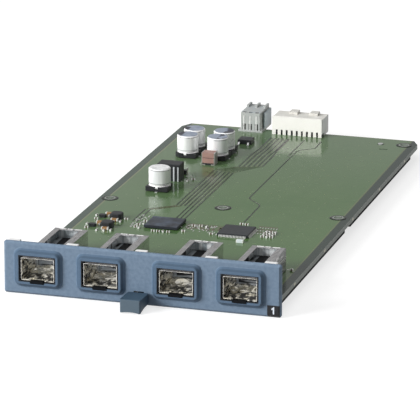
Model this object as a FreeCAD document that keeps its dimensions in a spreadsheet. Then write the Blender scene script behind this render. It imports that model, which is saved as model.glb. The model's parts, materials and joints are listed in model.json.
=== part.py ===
import FreeCAD, Part
import math
import os
import re
import Sketcher

# Switch line card: a moulded front panel with four port openings and a release lever, a long circuit
# board with four pluggable-port cages behind the panel, power parts and two header connectors at the
# rear, and a dished cover under the solder side.
# Frame: +Z up, +Y from the panel towards the rear connectors, +X to the right seen from the front.
# The origin is the middle of the underside of the whole card, lever and rear connectors included.
# Distances along Y in the sizes below are measured from the front face of the panel.

doc = FreeCAD.newDocument("LineCard")
sheet = doc.addObject("Spreadsheet::Sheet", "Sizes")

sizes = {
    # Front panel, and how far the card's middle lies to the left of the panel's middle
    "panel_width": 120.0,
    "panel_height": 22.6,
    "panel_thickness": 1.8,
    "panel_corner": 1.0,
    "panel_bevel": 0.9,
    "card_shift": 0.9,
    # Port openings, their raised frames and the notch under each opening
    "port_inner": 16.4,
    "port_inset": 16.2,
    "port_outer": "=panel_width / 2 - port_inset",
    "opening_width": 15.6,
    "opening_height": 10.8,
    "opening_base": 6.4,
    "opening_radius": 1.0,
    "frame_reach": 2.0,
    "frame_band": 1.3,
    "frame_bevel": 1.7,
    "frame_radius": 1.6,
    "notch_width": 6.2,
    "notch_drop": 1.0,
    # Slot number label at the lower right corner of the panel
    "label_width": 4.8,
    "label_height": 4.1,
    "label_sheet": 0.12,
    "label_side": 1.0,
    "label_base": 1.1,
    # Sheet metal bracket behind the panel
    "bracket_sheet": 1.0,
    "bracket_inset": 2.0,
    "bracket_width": "=panel_width - bracket_inset * 2",
    "bracket_base": 0.9,
    "bracket_top": 20.4,
    "tab_width": 5.0,
    "tab_top": 22.3,
    "tab_reach": 3.4,
    "tab_inner": "=(port_inner + port_outer) / 2",
    "tab_inset": 4.5,
    "tab_outer": "=panel_width / 2 - tab_inset",
    "foot_place": "=(port_inner + port_outer) / 2",
    "foot_width": 8.0,
    "foot_reach": 10.0,
    "foot_screw_back": 9.6,
    "stake_radius": 1.2,
    "stake_head_radius": 1.8,
    "stake_head": 0.6,
    "stake_height": 13.0,
    "stake_inset": 4.8,
    "stake_outer": "=panel_width / 2 - stake_inset",
    # Release lever, its pivot pin and its return spring
    "lever_width": 8.8,
    "lever_reach": 12.1,
    "lever_top": 5.6,
    "lever_rise": 0.4,
    "lever_root": 1.1,
    "lever_lip": 0.2,
    "lever_gap": 0.55,
    "lever_arch": 0.4,
    "stem_width": 3.8,
    "stem_base": 1.7,
    "stem_top": 4.0,
    "lever_travel": 1.9,
    "slot_clearance": 0.35,
    "hook_back": 6.0,
    "hook_length": 3.2,
    "hook_nose": 0.4,
    "pivot_back": 14.0,
    "pivot_height": 2.9,
    "pin_radius": 1.0,
    "pin_clearance": 0.03,
    "pin_head_radius": 1.5,
    "pin_head": 0.5,
    "barrel_radius": 2.3,
    "ear_inside": 3.4,
    "ear_back": 3.0,
    "ear_top": 5.6,
    "side_clearance": 0.2,
    "spring_back": 8.2,
    "spring_radius": 1.8,
    "spring_wire": 0.5,
    "spring_length": 7.0,
    "spring_turns": 5.0,
    "peg_radius": 1.1,
    "peg_height": 1.2,
    # Circuit board
    "board_front": 4.4,
    "board_length": 253.1,
    "board_rear": "=board_front + board_length",
    "board_inset_left": 1.9,
    "board_inset_right": 1.3,
    "board_left": "=panel_width / 2 - board_inset_left",
    "board_right": "=panel_width / 2 - board_inset_right",
    "board_top": 6.6,
    "board_thickness": 2.1,
    "corner_across": 3.0,
    "corner_along": 6.0,
    "cutout_width": 13.0,
    "cutout_back": 22.0,
    "key_slot_across": 45.1,
    "key_slot_inset": 18.8,
    "key_slot_back": "=board_rear - key_slot_inset",
    "key_slot_width": 4.0,
    "key_slot_length": 1.3,
    # Cover under the board, its press nuts and screws
    "cover_sheet": 1.2,
    "cover_front": 23.0,
    "cover_arm_inset": 10.5,
    "cover_arm": "=panel_width / 2 - cover_arm_inset",
    "cover_side_rear": 20.0,
    "cover_rear": 4.0,
    "cover_step": 2.0,
    "edge_notch_back": 113.4,
    "edge_notch_length": 9.6,
    "edge_notch_depth": 1.5,
    "dish_inset": 9.6,
    "dish_front": 30.0,
    "dish_rear": 12.0,
    "dish_radius": 6.0,
    "nut_inset": 7.1,
    "nut_across": "=panel_width / 2 - nut_inset",
    "nut_middle_back": 123.8,
    "nut_rear_inset": 8.8,
    "nut_rear_back": "=board_rear - nut_rear_inset",
    "nut_radius": 3.3,
    "nut_barrel_radius": 2.1,
    "nut_flange": 0.2,
    "nut_sink": 0.8,
    "screw_radius": 1.25,
    "screw_clearance": 0.05,
    "screw_head_radius": 2.4,
    "screw_head": 1.5,
    "well_radius": 4.2,
    # Port cages
    "cage_width": 14.6,
    "cage_height": 9.8,
    "cage_length": 44.5,
    "cage_inset": 0.8,
    "cage_sheet": 0.3,
    "window_left": 4.8,
    "window_right": 4.0,
    "window_front": 12.0,
    "window_rim": 2.0,
    "rim_slot": 0.7,
    "rim_slot_across": 1.4,
    "tongue_length": 3.0,
    "tongue_gap": 0.3,
    "tongue_reach": 1.1,
    "tongue_drop": 1.0,
    "leg_width": 0.85,
    "leg_front": 7.0,
    "leg_pitch": 15.0,
    "leg_hole_radius": 0.525,
    # Edge connector in each cage
    "socket_width": 13.2,
    "socket_height": 5.8,
    "socket_depth": 9.0,
    "socket_rear_gap": 0.8,
    "socket_clearance": 0.25,
    "mouth_width": 11.2,
    "mouth_height": 2.0,
    "mouth_base": 2.4,
    "mouth_depth": 6.2,
    "contact_pitch": 0.8,
    "contact_width": 0.45,
    "contact_sheet": 0.2,
    # Electrolytic capacitors
    "can_radius": 5.0,
    "can_height": 10.5,
    "can_seat": 1.1,
    "can_bead": 2.7,
    "can_bead_depth": 0.35,
    "can_round": 0.5,
    "base_width": 10.3,
    "base_height": 2.4,
    "base_corner": 2.2,
    "base_clearance": 0.1,
    "lead_width": 1.1,
    "lead_sheet": 0.3,
    "lead_reach": 0.8,
    "front_can_across": -35.9,
    "front_can_back": 144.2,
    "can_row_left": -40.0,
    "can_row_right": -25.4,
    "can_row_inset": 55.7,
    "can_row_front": "=board_rear - can_row_inset",
    "can_row_pitch": 11.0,
    # Boxed inductor behind the front capacitor
    "choke_width": 10.8,
    "choke_depth": 6.8,
    "choke_height": 8.0,
    "choke_left": -41.5,
    "choke_back": 158.2,
    "choke_strip": 0.6,
    "choke_strip_inset": 0.5,
    "choke_strip_pitch": 2.0,
    # Upright rectifier behind it
    "rectifier_width": 1.7,
    "rectifier_depth": 2.2,
    "rectifier_height": 2.0,
    "rectifier_left": -33.0,
    "rectifier_back": 170.4,
    "rectifier_plate": 0.4,
    "rectifier_plate_height": 2.9,
    # Stacked ceramic capacitor
    "brick_width": 5.6,
    "brick_depth": 5.0,
    "brick_height": 2.35,
    "brick_gap": 0.2,
    "brick_lift": 0.9,
    "brick_left": -29.1,
    "brick_inset": 68.7,
    "brick_back": "=board_rear - brick_inset",
    "frame_sheet": 0.35,
    "frame_foot": 1.5,
    # Power switch with a tab
    "switch_width": 6.6,
    "switch_depth": 6.1,
    "switch_height": 2.3,
    "switch_lift": 0.15,
    "switch_left": -23.4,
    "switch_inset": 29.3,
    "switch_back": "=board_rear - switch_inset",
    "switch_lead_pitch": 4.57,
    "switch_lead_width": 0.8,
    "switch_lead_reach": 2.8,
    "switch_lead_sheet": 0.5,
    "switch_tab_width": 5.3,
    "switch_tab_reach": 1.6,
    # Ball-grid chip and leaded chip
    "grid_chip_width": 15.2,
    "grid_chip_depth": 14.0,
    "grid_chip_height": 1.5,
    "grid_chip_lift": 0.3,
    "grid_chip_left": -24.6,
    "grid_chip_back": 84.4,
    "flat_chip_width": 13.8,
    "flat_chip_height": 1.4,
    "flat_chip_lift": 0.15,
    "flat_chip_left": 9.4,
    "flat_chip_back": 82.3,
    "flat_lead_pitch": 0.65,
    "flat_lead_width": 0.3,
    "flat_lead_sheet": 0.15,
    "flat_lead_reach": 1.0,
    "flat_lead_height": 0.85,
    # Filter inductors and small chips
    "filter_block": 5.2,
    "filter_block_height": 2.8,
    "filter_across": -40.2,
    "filter_back": 81.0,
    "filter_pitch": 13.6,
    "bead_width": 3.2,
    "bead_depth": 2.3,
    "bead_height": 1.3,
    "bead_across": -46.8,
    "bead_back": 79.4,
    "bead_pitch": 14.4,
    "chip_length": 3.2,
    "chip_width": 1.6,
    "chip_height": 1.2,
    "chip_end": 0.5,
    "small_chip_length": 1.6,
    "small_chip_width": 0.8,
    "small_chip_height": 0.8,
    "small_chip_end": 0.4,
    # Grid on which the chip parts are laid out
    "layout_grid": 0.2,
    # Power header at the rear left, reaching past the board's rear edge
    "power_overhang": 10.0,
    "power_depth": 16.6,
    "power_left": -28.25,
    "power_width": 9.4,
    "power_height": 9.4,
    "power_foot": 0.8,
    "power_foot_side": 1.2,
    "power_foot_front": 0.5,
    "power_foot_depth": 6.0,
    "power_pitch": 3.05,
    "power_slit": 0.8,
    "power_slit_height": 2.8,
    "power_slit_drop": 1.5,
    "power_recess": 3.9,
    "power_recess_depth": 1.6,
    "power_rib": 1.0,
    "power_rib_pitch": 4.2,
    "power_rib_length": 6.5,
    "power_cheek": 0.6,
    "power_cheek_gap": 0.6,
    "power_cheek_front": 4.65,
    "power_cheek_depth": 11.9,
    "power_cheek_drop": 1.1,
    "power_blade": 0.5,
    "power_mouth": 1.8,
    "power_mouth_depth": 7.0,
    # Signal header at the rear middle
    "signal_overhang": 5.1,
    "signal_depth": 12.6,
    "signal_left": -12.4,
    "signal_height": 9.0,
    "signal_wall": 1.2,
    "signal_step": 0.5,
    "signal_rib_width": 4.0,
    "signal_rib": 1.2,
    "signal_rib_depth": 5.0,
    "signal_rib_left": 6.4,
    "signal_rib_pitch": 10.0,
    "signal_pitch": 2.5,
    "signal_ways": 10,
    "signal_side": 1.0,
    "signal_slit": 0.9,
    "signal_slit_height": 2.5,
    "signal_slit_depth": 1.6,
    "signal_cell": 1.5,
    "signal_cell_depth": 6.0,
    "signal_cell_base": 1.9,
    "signal_row_pitch": 3.4,
    "signal_pin": 0.64,
    # Ground pin near the rear right corner
    "ground_pin_across": 41.7,
    "ground_pin_inset": 9.9,
    "ground_pin_back": "=board_rear - ground_pin_inset",
    "ground_pin_radius": 1.2,
    "ground_pin_height": 0.4,
}
for row, name in enumerate(sizes, 1):
    sheet.set(f"A{row}", name)
    sheet.setAlias(f"B{row}", name)
for row, value in enumerate(sizes.values(), 1):
    sheet.set(f"B{row}", str(value))
doc.recompute()

# Where the pieces lie: Y of the panel's front face, the board's underside and the cages' two ends
PANEL_FACE = "(lever_reach - board_front - board_length - power_overhang) / 2"
BOARD_UNDER = "(board_top - board_thickness)"
BRACKET_REAR = "(panel_thickness + bracket_sheet)"
CAGE_FRONT = "(cage_inset - frame_reach)"
CAGE_REAR = "(cage_inset - frame_reach + cage_length)"
PORTS = ["-port_outer", "-port_inner", "port_inner", "port_outer"]
TABS = ["-tab_outer", "-tab_inner", "0", "tab_inner", "tab_outer"]
NUTS = [
    ("-nut_across", "nut_middle_back"),
    ("0", "nut_middle_back"),
    ("nut_across", "nut_middle_back"),
    ("-nut_across", "nut_rear_back"),
    ("nut_across", "nut_rear_back"),
]

pieces = []


def formula(text):
    """The text with every named size read from the sheet."""
    return re.sub(r"[a-z]+(?:_[a-z]+)+", lambda found: "Sizes." + found.group(0), str(text))


def worth(text):
    """The number that a formula comes to."""
    return float(sheet.evalExpression(formula(text)))


def bind(item, **settings):
    """Tie properties to formulas; a double underscore in a name stands for a dot."""
    for name, text in settings.items():
        item.setExpression(name.replace("__", "."), formula(text))


def place(item, across, back, height):
    """Seat a piece: across from the card's middle, back from the panel's face, above the ground."""
    bind(
        item,
        Placement__Base__x=f"({across}) - card_shift",
        Placement__Base__y=f"({back}) + {PANEL_FACE}",
        Placement__Base__z=height,
    )
    pieces.append(item)
    return item


def new_body(label, across="0", back="0", height="0"):
    body = doc.addObject("PartDesign::Body", label)
    body.Label = label
    return place(body, across, back, height)


def new_solids(label, shapes, across="0", back="0", height="0"):
    """Several loose solids of one kind, in one piece of the model."""
    item = doc.addObject("Part::Feature", label)
    item.Label = label
    item.Shape = Part.makeCompound(shapes)
    return place(item, across, back, height)


def polygon(*points):
    """A closed outline through corners given as formulas."""

    def draw(sketch):
        spots = [FreeCAD.Vector(worth(a), worth(b), 0) for a, b in points]
        first = sketch.GeometryCount
        count = len(spots)
        lines = [Part.LineSegment(spots[i], spots[(i + 1) % count]) for i in range(count)]
        sketch.addGeometry(lines, False)
        joins = [
            Sketcher.Constraint("Coincident", first + i, 2, first + (i + 1) % count, 1)
            for i in range(count)
        ]
        sketch.addConstraint(joins)
        for i, (a, b) in enumerate(points):
            hold(sketch, "DistanceX", first + i, 1, spots[i].x, a)
            hold(sketch, "DistanceY", first + i, 1, spots[i].y, b)

    return draw


def rectangle(left, right, low, high):
    return polygon((left, low), (right, low), (right, high), (left, high))


def disc(a, b, radius):
    """A circle with its middle and radius given as formulas."""

    def draw(sketch):
        middle = FreeCAD.Vector(worth(a), worth(b), 0)
        circle = Part.Circle(middle, FreeCAD.Vector(0, 0, 1), worth(radius))
        index = sketch.addGeometry(circle, False)
        hold(sketch, "DistanceX", index, 3, middle.x, a)
        hold(sketch, "DistanceY", index, 3, middle.y, b)
        number = sketch.addConstraint(Sketcher.Constraint("Radius", index, worth(radius)))
        sketch.setExpression(f"Constraints[{number}]", formula(radius))

    return draw


def rounded(left, right, low, high, radius):
    """A rectangle with equal round corners, given as formulas."""

    def draw(sketch):
        x0, x1, y0, y1, r = [worth(text) for text in (left, right, low, high, radius)]
        flat = FreeCAD.Vector
        first = sketch.GeometryCount
        sides = [
            Part.LineSegment(flat(x0 + r, y0, 0), flat(x1 - r, y0, 0)),
            Part.LineSegment(flat(x1, y0 + r, 0), flat(x1, y1 - r, 0)),
            Part.LineSegment(flat(x1 - r, y1, 0), flat(x0 + r, y1, 0)),
            Part.LineSegment(flat(x0, y1 - r, 0), flat(x0, y0 + r, 0)),
        ]
        middles = [(x1 - r, y0 + r), (x1 - r, y1 - r), (x0 + r, y1 - r), (x0 + r, y0 + r)]
        arcs = []
        for turn, (x, y) in enumerate(middles):
            circle = Part.Circle(flat(x, y, 0), flat(0, 0, 1), r)
            start = (turn - 1) * math.pi / 2
            arcs.append(Part.ArcOfCircle(circle, start, start + math.pi / 2))
        sketch.addGeometry(sides + arcs, False)
        rules = []
        for i in range(4):
            arc = first + 4 + i
            rules.append(Sketcher.Constraint("Tangent", first + i, 2, arc, 1))
            rules.append(Sketcher.Constraint("Tangent", arc, 2, first + (i + 1) % 4, 1))
        for i in range(1, 4):
            rules.append(Sketcher.Constraint("Equal", first + 4, first + 4 + i))
        rules.append(Sketcher.Constraint("Horizontal", first))
        rules.append(Sketcher.Constraint("Vertical", first + 1))
        rules.append(Sketcher.Constraint("Horizontal", first + 2))
        rules.append(Sketcher.Constraint("Vertical", first + 3))
        sketch.addConstraint(rules)
        hold(sketch, "DistanceY", first, 1, y0, low)
        hold(sketch, "DistanceX", first + 1, 1, x1, right)
        hold(sketch, "DistanceY", first + 2, 1, y1, high)
        hold(sketch, "DistanceX", first + 3, 1, x0, left)
        number = sketch.addConstraint(Sketcher.Constraint("Radius", first + 4, r))
        sketch.setExpression(f"Constraints[{number}]", formula(radius))

    return draw


def hold(sketch, kind, index, point, value, text):
    """Keep a point at a formula's distance from the sketch's origin."""
    number = sketch.addConstraint(Sketcher.Constraint(kind, -1, 1, index, point, value))
    sketch.setExpression(f"Constraints[{number}]", formula(text))


def new_sketch(body, plane, start, drawings):
    """A sketch on one of the body's own planes, moved along that plane's axis to start."""
    sketch = body.newObject("Sketcher::SketchObject", body.Label + "_sketch")
    role = plane + "_Plane"
    support = [item for item in body.Origin.OriginFeatures if item.Role == role][0]
    sketch.AttachmentSupport = (support, [""])
    sketch.MapMode = "FlatFace"
    sign = "-" if plane == "XZ" else ""
    bind(sketch, AttachmentOffset__Base__z=f"{sign}({start})")
    for draw in drawings:
        draw(sketch)
    return sketch


def raised(body, plane, start, length, *drawings):
    """Material from start over a length, along +Z, +Y or +X for an XY, XZ or YZ outline."""
    feature = body.newObject("PartDesign::Pad", body.Label + "_pad")
    feature.Profile = new_sketch(body, plane, start, drawings)
    feature.Reversed = plane == "XZ"
    bind(feature, Length=length)
    body.Tip = feature
    return feature


def removed(body, plane, start, length, *drawings):
    """A cut from start over a length, in the same direction as raised."""
    feature = body.newObject("PartDesign::Pocket", body.Label + "_pocket")
    feature.Profile = new_sketch(body, plane, start, drawings)
    feature.Reversed = plane != "XZ"
    bind(feature, Length=length)
    body.Tip = feature
    return feature


def turned(body, *points):
    """A solid of revolution about Z through corners given as (radius, height)."""
    feature = body.newObject("PartDesign::Revolution", body.Label + "_turned")
    sketch = new_sketch(body, "XZ", "0", [polygon(*points)])
    feature.Profile = sketch
    feature.ReferenceAxis = (sketch, ["V_Axis"])
    feature.Angle = 360.0
    body.Tip = feature
    return feature


def dress(body, kind, size, wanted):
    """A Fillet or Chamfer on the edges for which wanted(edge) is true."""
    doc.recompute()
    base = body.Tip
    names = [f"Edge{i}" for i, edge in enumerate(base.Shape.Edges, 1) if wanted(edge)]
    feature = body.newObject("PartDesign::" + kind, body.Label + "_" + kind.lower())
    feature.Base = (base, names)
    bind(feature, **{"Radius" if kind == "Fillet" else "Size": size})
    body.Tip = feature
    return feature


def runs_along(edge, axis):
    """Whether a straight edge runs along the X, Y or Z axis."""
    if edge.Curve.TypeId != "Part::GeomLine":
        return False
    line = edge.Curve.Direction
    return abs(abs({"X": line.x, "Y": line.y, "Z": line.z}[axis]) - 1) < 1e-6


def lies_at(edge, axis, value):
    """Whether a whole edge lies in the plane at a value of the X, Y or Z axis."""
    box = edge.BoundBox
    low, high = {"X": (box.XMin, box.XMax), "Y": (box.YMin, box.YMax), "Z": (box.ZMin, box.ZMax)}[axis]
    return abs(low - value) < 1e-4 and abs(high - value) < 1e-4


def brick(width, depth, height, x=0.0, y=0.0, z=0.0):
    """A box with its lower front left corner at the given place."""
    return Part.makeBox(width, depth, height, FreeCAD.Vector(x, y, z))


# Front panel: plate with bevelled edges, raised port frames, port openings and the lever slot
panel = new_body("front_panel", "card_shift")
raised(
    panel,
    "XZ",
    "0",
    "panel_thickness",
    rounded("-panel_width / 2", "panel_width / 2", "0", "panel_height", "panel_corner"),
)
dress(panel, "Chamfer", "panel_bevel", lambda edge: lies_at(edge, "Y", 0.0))
for port in PORTS:
    middle = f"({port} - card_shift)"
    sketches = []
    for start, grow in (("0", "frame_bevel"), ("-frame_reach", "0")):
        side = f"(opening_width / 2 + frame_band + {grow})"
        low = f"opening_base - frame_band - {grow}"
        high = f"opening_base + opening_height + frame_band + {grow}"
        outline = rounded(f"{middle} - {side}", f"{middle} + {side}", low, high, f"frame_radius + {grow}")
        sketches.append(new_sketch(panel, "XZ", start, [outline]))
    frame = panel.newObject("PartDesign::AdditiveLoft", "port_frame")
    frame.Profile = sketches[0]
    frame.Sections = [sketches[1]]
    panel.Tip = frame
for port in PORTS:
    middle = f"({port} - card_shift)"
    half = "opening_width / 2"
    removed(
        panel,
        "XZ",
        "-frame_reach * 2",
        "frame_reach * 2 + panel_thickness * 2",
        rounded(
            f"{middle} - {half}",
            f"{middle} + {half}",
            "opening_base",
            "opening_base + opening_height",
            "opening_radius",
        ),
    )
    removed(
        panel,
        "XZ",
        "-frame_reach * 2",
        "frame_reach * 2 + panel_thickness * 2",
        rectangle(
            f"{middle} - notch_width / 2",
            f"{middle} + notch_width / 2",
            "opening_base - notch_drop",
            "opening_base + opening_radius",
        ),
    )
removed(
    panel,
    "XZ",
    "-panel_thickness",
    "panel_thickness * 3",
    rectangle(
        "-card_shift - stem_width / 2 - slot_clearance",
        "-card_shift + stem_width / 2 + slot_clearance",
        "stem_base - slot_clearance",
        "stem_top + lever_travel",
    ),
)
STAKES = ["-stake_outer", "-foot_place", "foot_place", "stake_outer"]
raised(
    panel,
    "XZ",
    "panel_thickness",
    "bracket_sheet",
    *[disc(f"{spot} - card_shift", "stake_height", "stake_radius") for spot in STAKES],
)
raised(
    panel,
    "XZ",
    BRACKET_REAR,
    "stake_head",
    *[disc(f"{spot} - card_shift", "stake_height", "stake_head_radius") for spot in STAKES],
)

# Slot number label, stuck on the panel
label = doc.addObject("Part::Box", "number_label")
label.Label = "number_label"
bind(label, Length="label_width", Width="label_sheet", Height="label_height")
place(label, "card_shift + panel_width / 2 - label_side - label_width", "-label_sheet", "label_base")

# Bracket behind the panel: plate with top tabs, board feet, lever ears and a shelf for the spring
bracket = new_body("front_bracket")
raised(
    bracket,
    "XZ",
    "panel_thickness",
    "bracket_sheet",
    rectangle("-bracket_width / 2", "bracket_width / 2", "bracket_base", "bracket_top"),
)
removed(
    bracket,
    "XZ",
    "0",
    "panel_thickness + bracket_sheet * 2",
    *[
        rectangle(
            f"{port} - opening_width / 2",
            f"{port} + opening_width / 2",
            "opening_base - notch_drop",
            "opening_base + opening_height",
        )
        for port in PORTS
    ],
)
removed(
    bracket,
    "XZ",
    "0",
    "panel_thickness + bracket_sheet * 2",
    rectangle(
        "-ear_inside",
        "ear_inside",
        "stem_base - slot_clearance",
        "stem_top + lever_travel + slot_clearance",
    ),
    *[disc(spot, "stake_height", "stake_radius + slot_clearance / 5") for spot in STAKES],
)
raised(
    bracket,
    "XZ",
    "panel_thickness",
    "bracket_sheet",
    *[rectangle(f"{tab} - tab_width / 2", f"{tab} + tab_width / 2", "bracket_top - 1", "tab_top") for tab in TABS],
)
raised(
    bracket,
    "XY",
    "tab_top - bracket_sheet",
    "bracket_sheet",
    *[
        rectangle(
            f"{tab} - tab_width / 2",
            f"{tab} + tab_width / 2",
            "panel_thickness",
            "panel_thickness + tab_reach",
        )
        for tab in TABS
    ],
)
for start in ("-ear_inside - bracket_sheet", "ear_inside"):
    raised(
        bracket,
        "YZ",
        start,
        "bracket_sheet",
        rectangle(BRACKET_REAR, "pivot_back + ear_back", "bracket_base", "ear_top"),
    )
removed(
    bracket,
    "YZ",
    "-ear_inside - bracket_sheet * 2",
    "ear_inside * 2 + bracket_sheet * 4",
    disc("pivot_back", "pivot_height", "pin_radius + pin_clearance"),
)
raised(
    bracket,
    "XY",
    "stem_top + spring_length",
    "bracket_sheet",
    rectangle(
        "-ear_inside - bracket_sheet",
        "ear_inside + bracket_sheet",
        "panel_thickness",
        "spring_back + spring_radius * 2",
    ),
)
for foot in ("-foot_place", "foot_place"):
    raised(
        bracket,
        "XY",
        f"{BOARD_UNDER} - bracket_sheet",
        "bracket_sheet",
        rectangle(
            f"{foot} - foot_width / 2",
            f"{foot} + foot_width / 2",
            "panel_thickness",
            f"{BRACKET_REAR} + foot_reach",
        ),
    )
    removed(
        bracket,
        "XY",
        f"{BOARD_UNDER} - bracket_sheet * 2",
        "bracket_sheet * 3",
        disc(foot, "foot_screw_back", "screw_radius + screw_clearance"),
    )

# Release lever: finger tab, stem through the panel, latch hook, pivot barrel and spring peg
lever = new_body("release_lever")
raised(
    lever,
    "YZ",
    "-lever_width / 2",
    "lever_width",
    polygon(
        ("-lever_reach", "lever_top + lever_rise"),
        ("-lever_reach", "lever_lip"),
        ("-lever_reach + lever_width * 0.07", "lever_lip"),
        ("-lever_reach * 0.86", "lever_lip + (lever_root - lever_lip) * 0.3"),
        ("-lever_reach * 0.66", "lever_lip + (lever_root - lever_lip) * 0.8"),
        ("-lever_reach * 0.45", "lever_root"),
        ("-lever_gap", "lever_root"),
        ("-lever_gap", "lever_top"),
    ),
)
arch = "((lever_width - 1.2) * (lever_width - 1.2) / (8 * lever_arch) + lever_arch / 2)"
removed(
    lever,
    "XZ",
    "-lever_reach * 2",
    "lever_reach * 1.3",
    disc("0", f"lever_lip + lever_arch - {arch}", arch),
)
dress(
    lever,
    "Chamfer",
    "lever_arch",
    lambda edge: lies_at(edge, "Y", -worth("lever_reach"))
    and (runs_along(edge, "Z") or lies_at(edge, "Z", worth("lever_top + lever_rise"))),
)
raised(
    lever,
    "YZ",
    "-stem_width / 2",
    "stem_width",
    rectangle("-lever_gap * 2", "pivot_back", "stem_base", "stem_top"),
)
raised(
    lever,
    "YZ",
    "-stem_width / 2",
    "stem_width",
    polygon(
        ("hook_back", "stem_base + (stem_top - stem_base) / 2"),
        ("hook_back", "stem_base"),
        ("hook_back + hook_length * 0.5", "hook_nose"),
        ("hook_back + hook_length", "hook_nose"),
        ("hook_back + hook_length", "stem_base + (stem_top - stem_base) / 2"),
    ),
)
raised(
    lever,
    "YZ",
    "-ear_inside + side_clearance",
    "(ear_inside - side_clearance) * 2",
    disc("pivot_back", "pivot_height", "barrel_radius"),
)
raised(lever, "XY", "stem_top - 0.5", "peg_height + 0.5", disc("0", "spring_back", "peg_radius"))
removed(
    lever,
    "YZ",
    "-lever_width",
    "lever_width * 2",
    disc("pivot_back", "pivot_height", "pin_radius + pin_clearance"),
)

# Pivot pin with a head at each end outside the ears
pin = new_body("lever_pin")
raised(
    pin,
    "YZ",
    "-ear_inside - bracket_sheet",
    "(ear_inside + bracket_sheet) * 2",
    disc("pivot_back", "pivot_height", "pin_radius"),
)
for start in ("-ear_inside - bracket_sheet - pin_head", "ear_inside + bracket_sheet"):
    raised(pin, "YZ", start, "pin_head", disc("pivot_back", "pivot_height", "pin_head_radius"))

# Return spring between the stem and the bracket's shelf
wire = worth("spring_wire")
rise = worth("spring_length") - wire
coil_radius = worth("spring_radius")
helix = Part.makeHelix(rise / worth("spring_turns"), rise, coil_radius)
ring = Part.makeCircle(wire / 2, FreeCAD.Vector(coil_radius, 0, 0), FreeCAD.Vector(0, 1, 0))
coil = Part.Wire(helix.Edges).makePipeShell([Part.Wire([ring])], True, True)
new_solids("lever_spring", [coil], "0", "spring_back", "stem_top + spring_wire / 2")

# Circuit board with cut-outs and drilled holes
board = new_body("circuit_board")
raised(
    board,
    "XY",
    BOARD_UNDER,
    "board_thickness",
    polygon(
        ("-board_left", "board_front"),
        ("-cutout_width / 2", "board_front"),
        ("-cutout_width / 2", "cutout_back"),
        ("cutout_width / 2", "cutout_back"),
        ("cutout_width / 2", "board_front"),
        ("board_right", "board_front"),
        ("board_right", "board_rear - corner_along"),
        ("board_right - corner_across", "board_rear"),
        ("-board_left + corner_across", "board_rear"),
        ("-board_left", "board_rear - corner_along"),
    ),
)
drill = [disc(x, y, "nut_barrel_radius + screw_clearance") for x, y in NUTS]
drill += [disc(foot, "foot_screw_back", "screw_radius + screw_clearance * 2") for foot in ("-foot_place", "foot_place")]
drill.append(
    rectangle(
        "key_slot_across - key_slot_width / 2",
        "key_slot_across + key_slot_width / 2",
        "key_slot_back",
        "key_slot_back + key_slot_length",
    )
)
removed(board, "XY", f"{BOARD_UNDER} - board_thickness", "board_thickness * 3", *drill)
LEGS = [(side, step) for side in ("-1", "1") for step in (0, 1, 2)]
for port in PORTS:
    removed(
        board,
        "XY",
        f"{BOARD_UNDER} - board_thickness",
        "board_thickness * 3",
        *[
            disc(
                f"{port} + {side} * (cage_width - cage_sheet) / 2",
                f"leg_front + {step} * leg_pitch",
                "leg_hole_radius",
            )
            for side, step in LEGS
        ],
    )

# Dished cover under the board, flush with the board's edges
cover = new_body("solder_side_cover")
rear = "(board_rear - cover_rear)"
raised(
    cover,
    "XY",
    f"{BOARD_UNDER} - cover_sheet",
    "cover_sheet",
    polygon(
        ("-board_left", "board_front"),
        ("-cover_arm", "board_front"),
        ("-cover_arm", "cover_front"),
        ("cover_arm", "cover_front"),
        ("cover_arm", "board_front"),
        ("board_right", "board_front"),
        ("board_right", "edge_notch_back"),
        ("board_right - edge_notch_depth", "edge_notch_back"),
        ("board_right - edge_notch_depth", "edge_notch_back + edge_notch_length"),
        ("board_right", "edge_notch_back + edge_notch_length"),
        ("board_right", "board_rear - cover_side_rear"),
        ("board_right - cover_step", "board_rear - cover_side_rear + cover_step"),
        ("board_right - cover_step", rear),
        ("-board_left + cover_step", rear),
        ("-board_left + cover_step", "board_rear - cover_side_rear + cover_step"),
        ("-board_left", "board_rear - cover_side_rear"),
    ),
)
for grow, feature in (("0", raised), ("cover_sheet", removed)):
    feature(
        cover,
        "XY",
        grow,
        BOARD_UNDER,
        rounded(
            f"-board_left + dish_inset + {grow}",
            f"board_right - dish_inset - {grow}",
            f"dish_front + {grow}",
            f"board_rear - dish_rear - {grow}",
            f"dish_radius - {grow}",
        ),
    )
raised(cover, "XY", "0", BOARD_UNDER, disc("0", "nut_middle_back", "well_radius + cover_sheet"))
removed(
    cover,
    "XY",
    "-cover_sheet",
    BOARD_UNDER,
    disc("0", "nut_middle_back", "well_radius"),
)
removed(
    cover,
    "XY",
    "-cover_sheet",
    "board_top",
    *[disc(x, y, "screw_radius + screw_clearance * 2") for x, y in NUTS],
)

# Press nuts in the board, their cover screws from below, and the bracket's screws from above
press_nuts = []
for x, y in NUTS:
    depth = worth("board_thickness")
    flange = worth("nut_flange")
    flange_disc = Part.makeCylinder(worth("nut_radius"), flange)
    barrel = Part.makeCylinder(worth("nut_barrel_radius"), depth, FreeCAD.Vector(0, 0, -depth))
    bore = Part.makeCylinder(worth("screw_radius + screw_clearance"), depth * 3, FreeCAD.Vector(0, 0, -depth * 2))
    sink = worth("nut_sink")
    mouth = Part.makeCone(
        worth("screw_radius + screw_clearance"),
        worth("screw_radius + screw_clearance") + sink,
        sink,
        FreeCAD.Vector(0, 0, flange - sink),
    )
    nut = flange_disc.fuse(barrel).cut(bore).cut(mouth)
    nut.translate(FreeCAD.Vector(worth(x), worth(y), worth("board_top")))
    press_nuts.append(nut)
new_solids("press_nuts", press_nuts)


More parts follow.
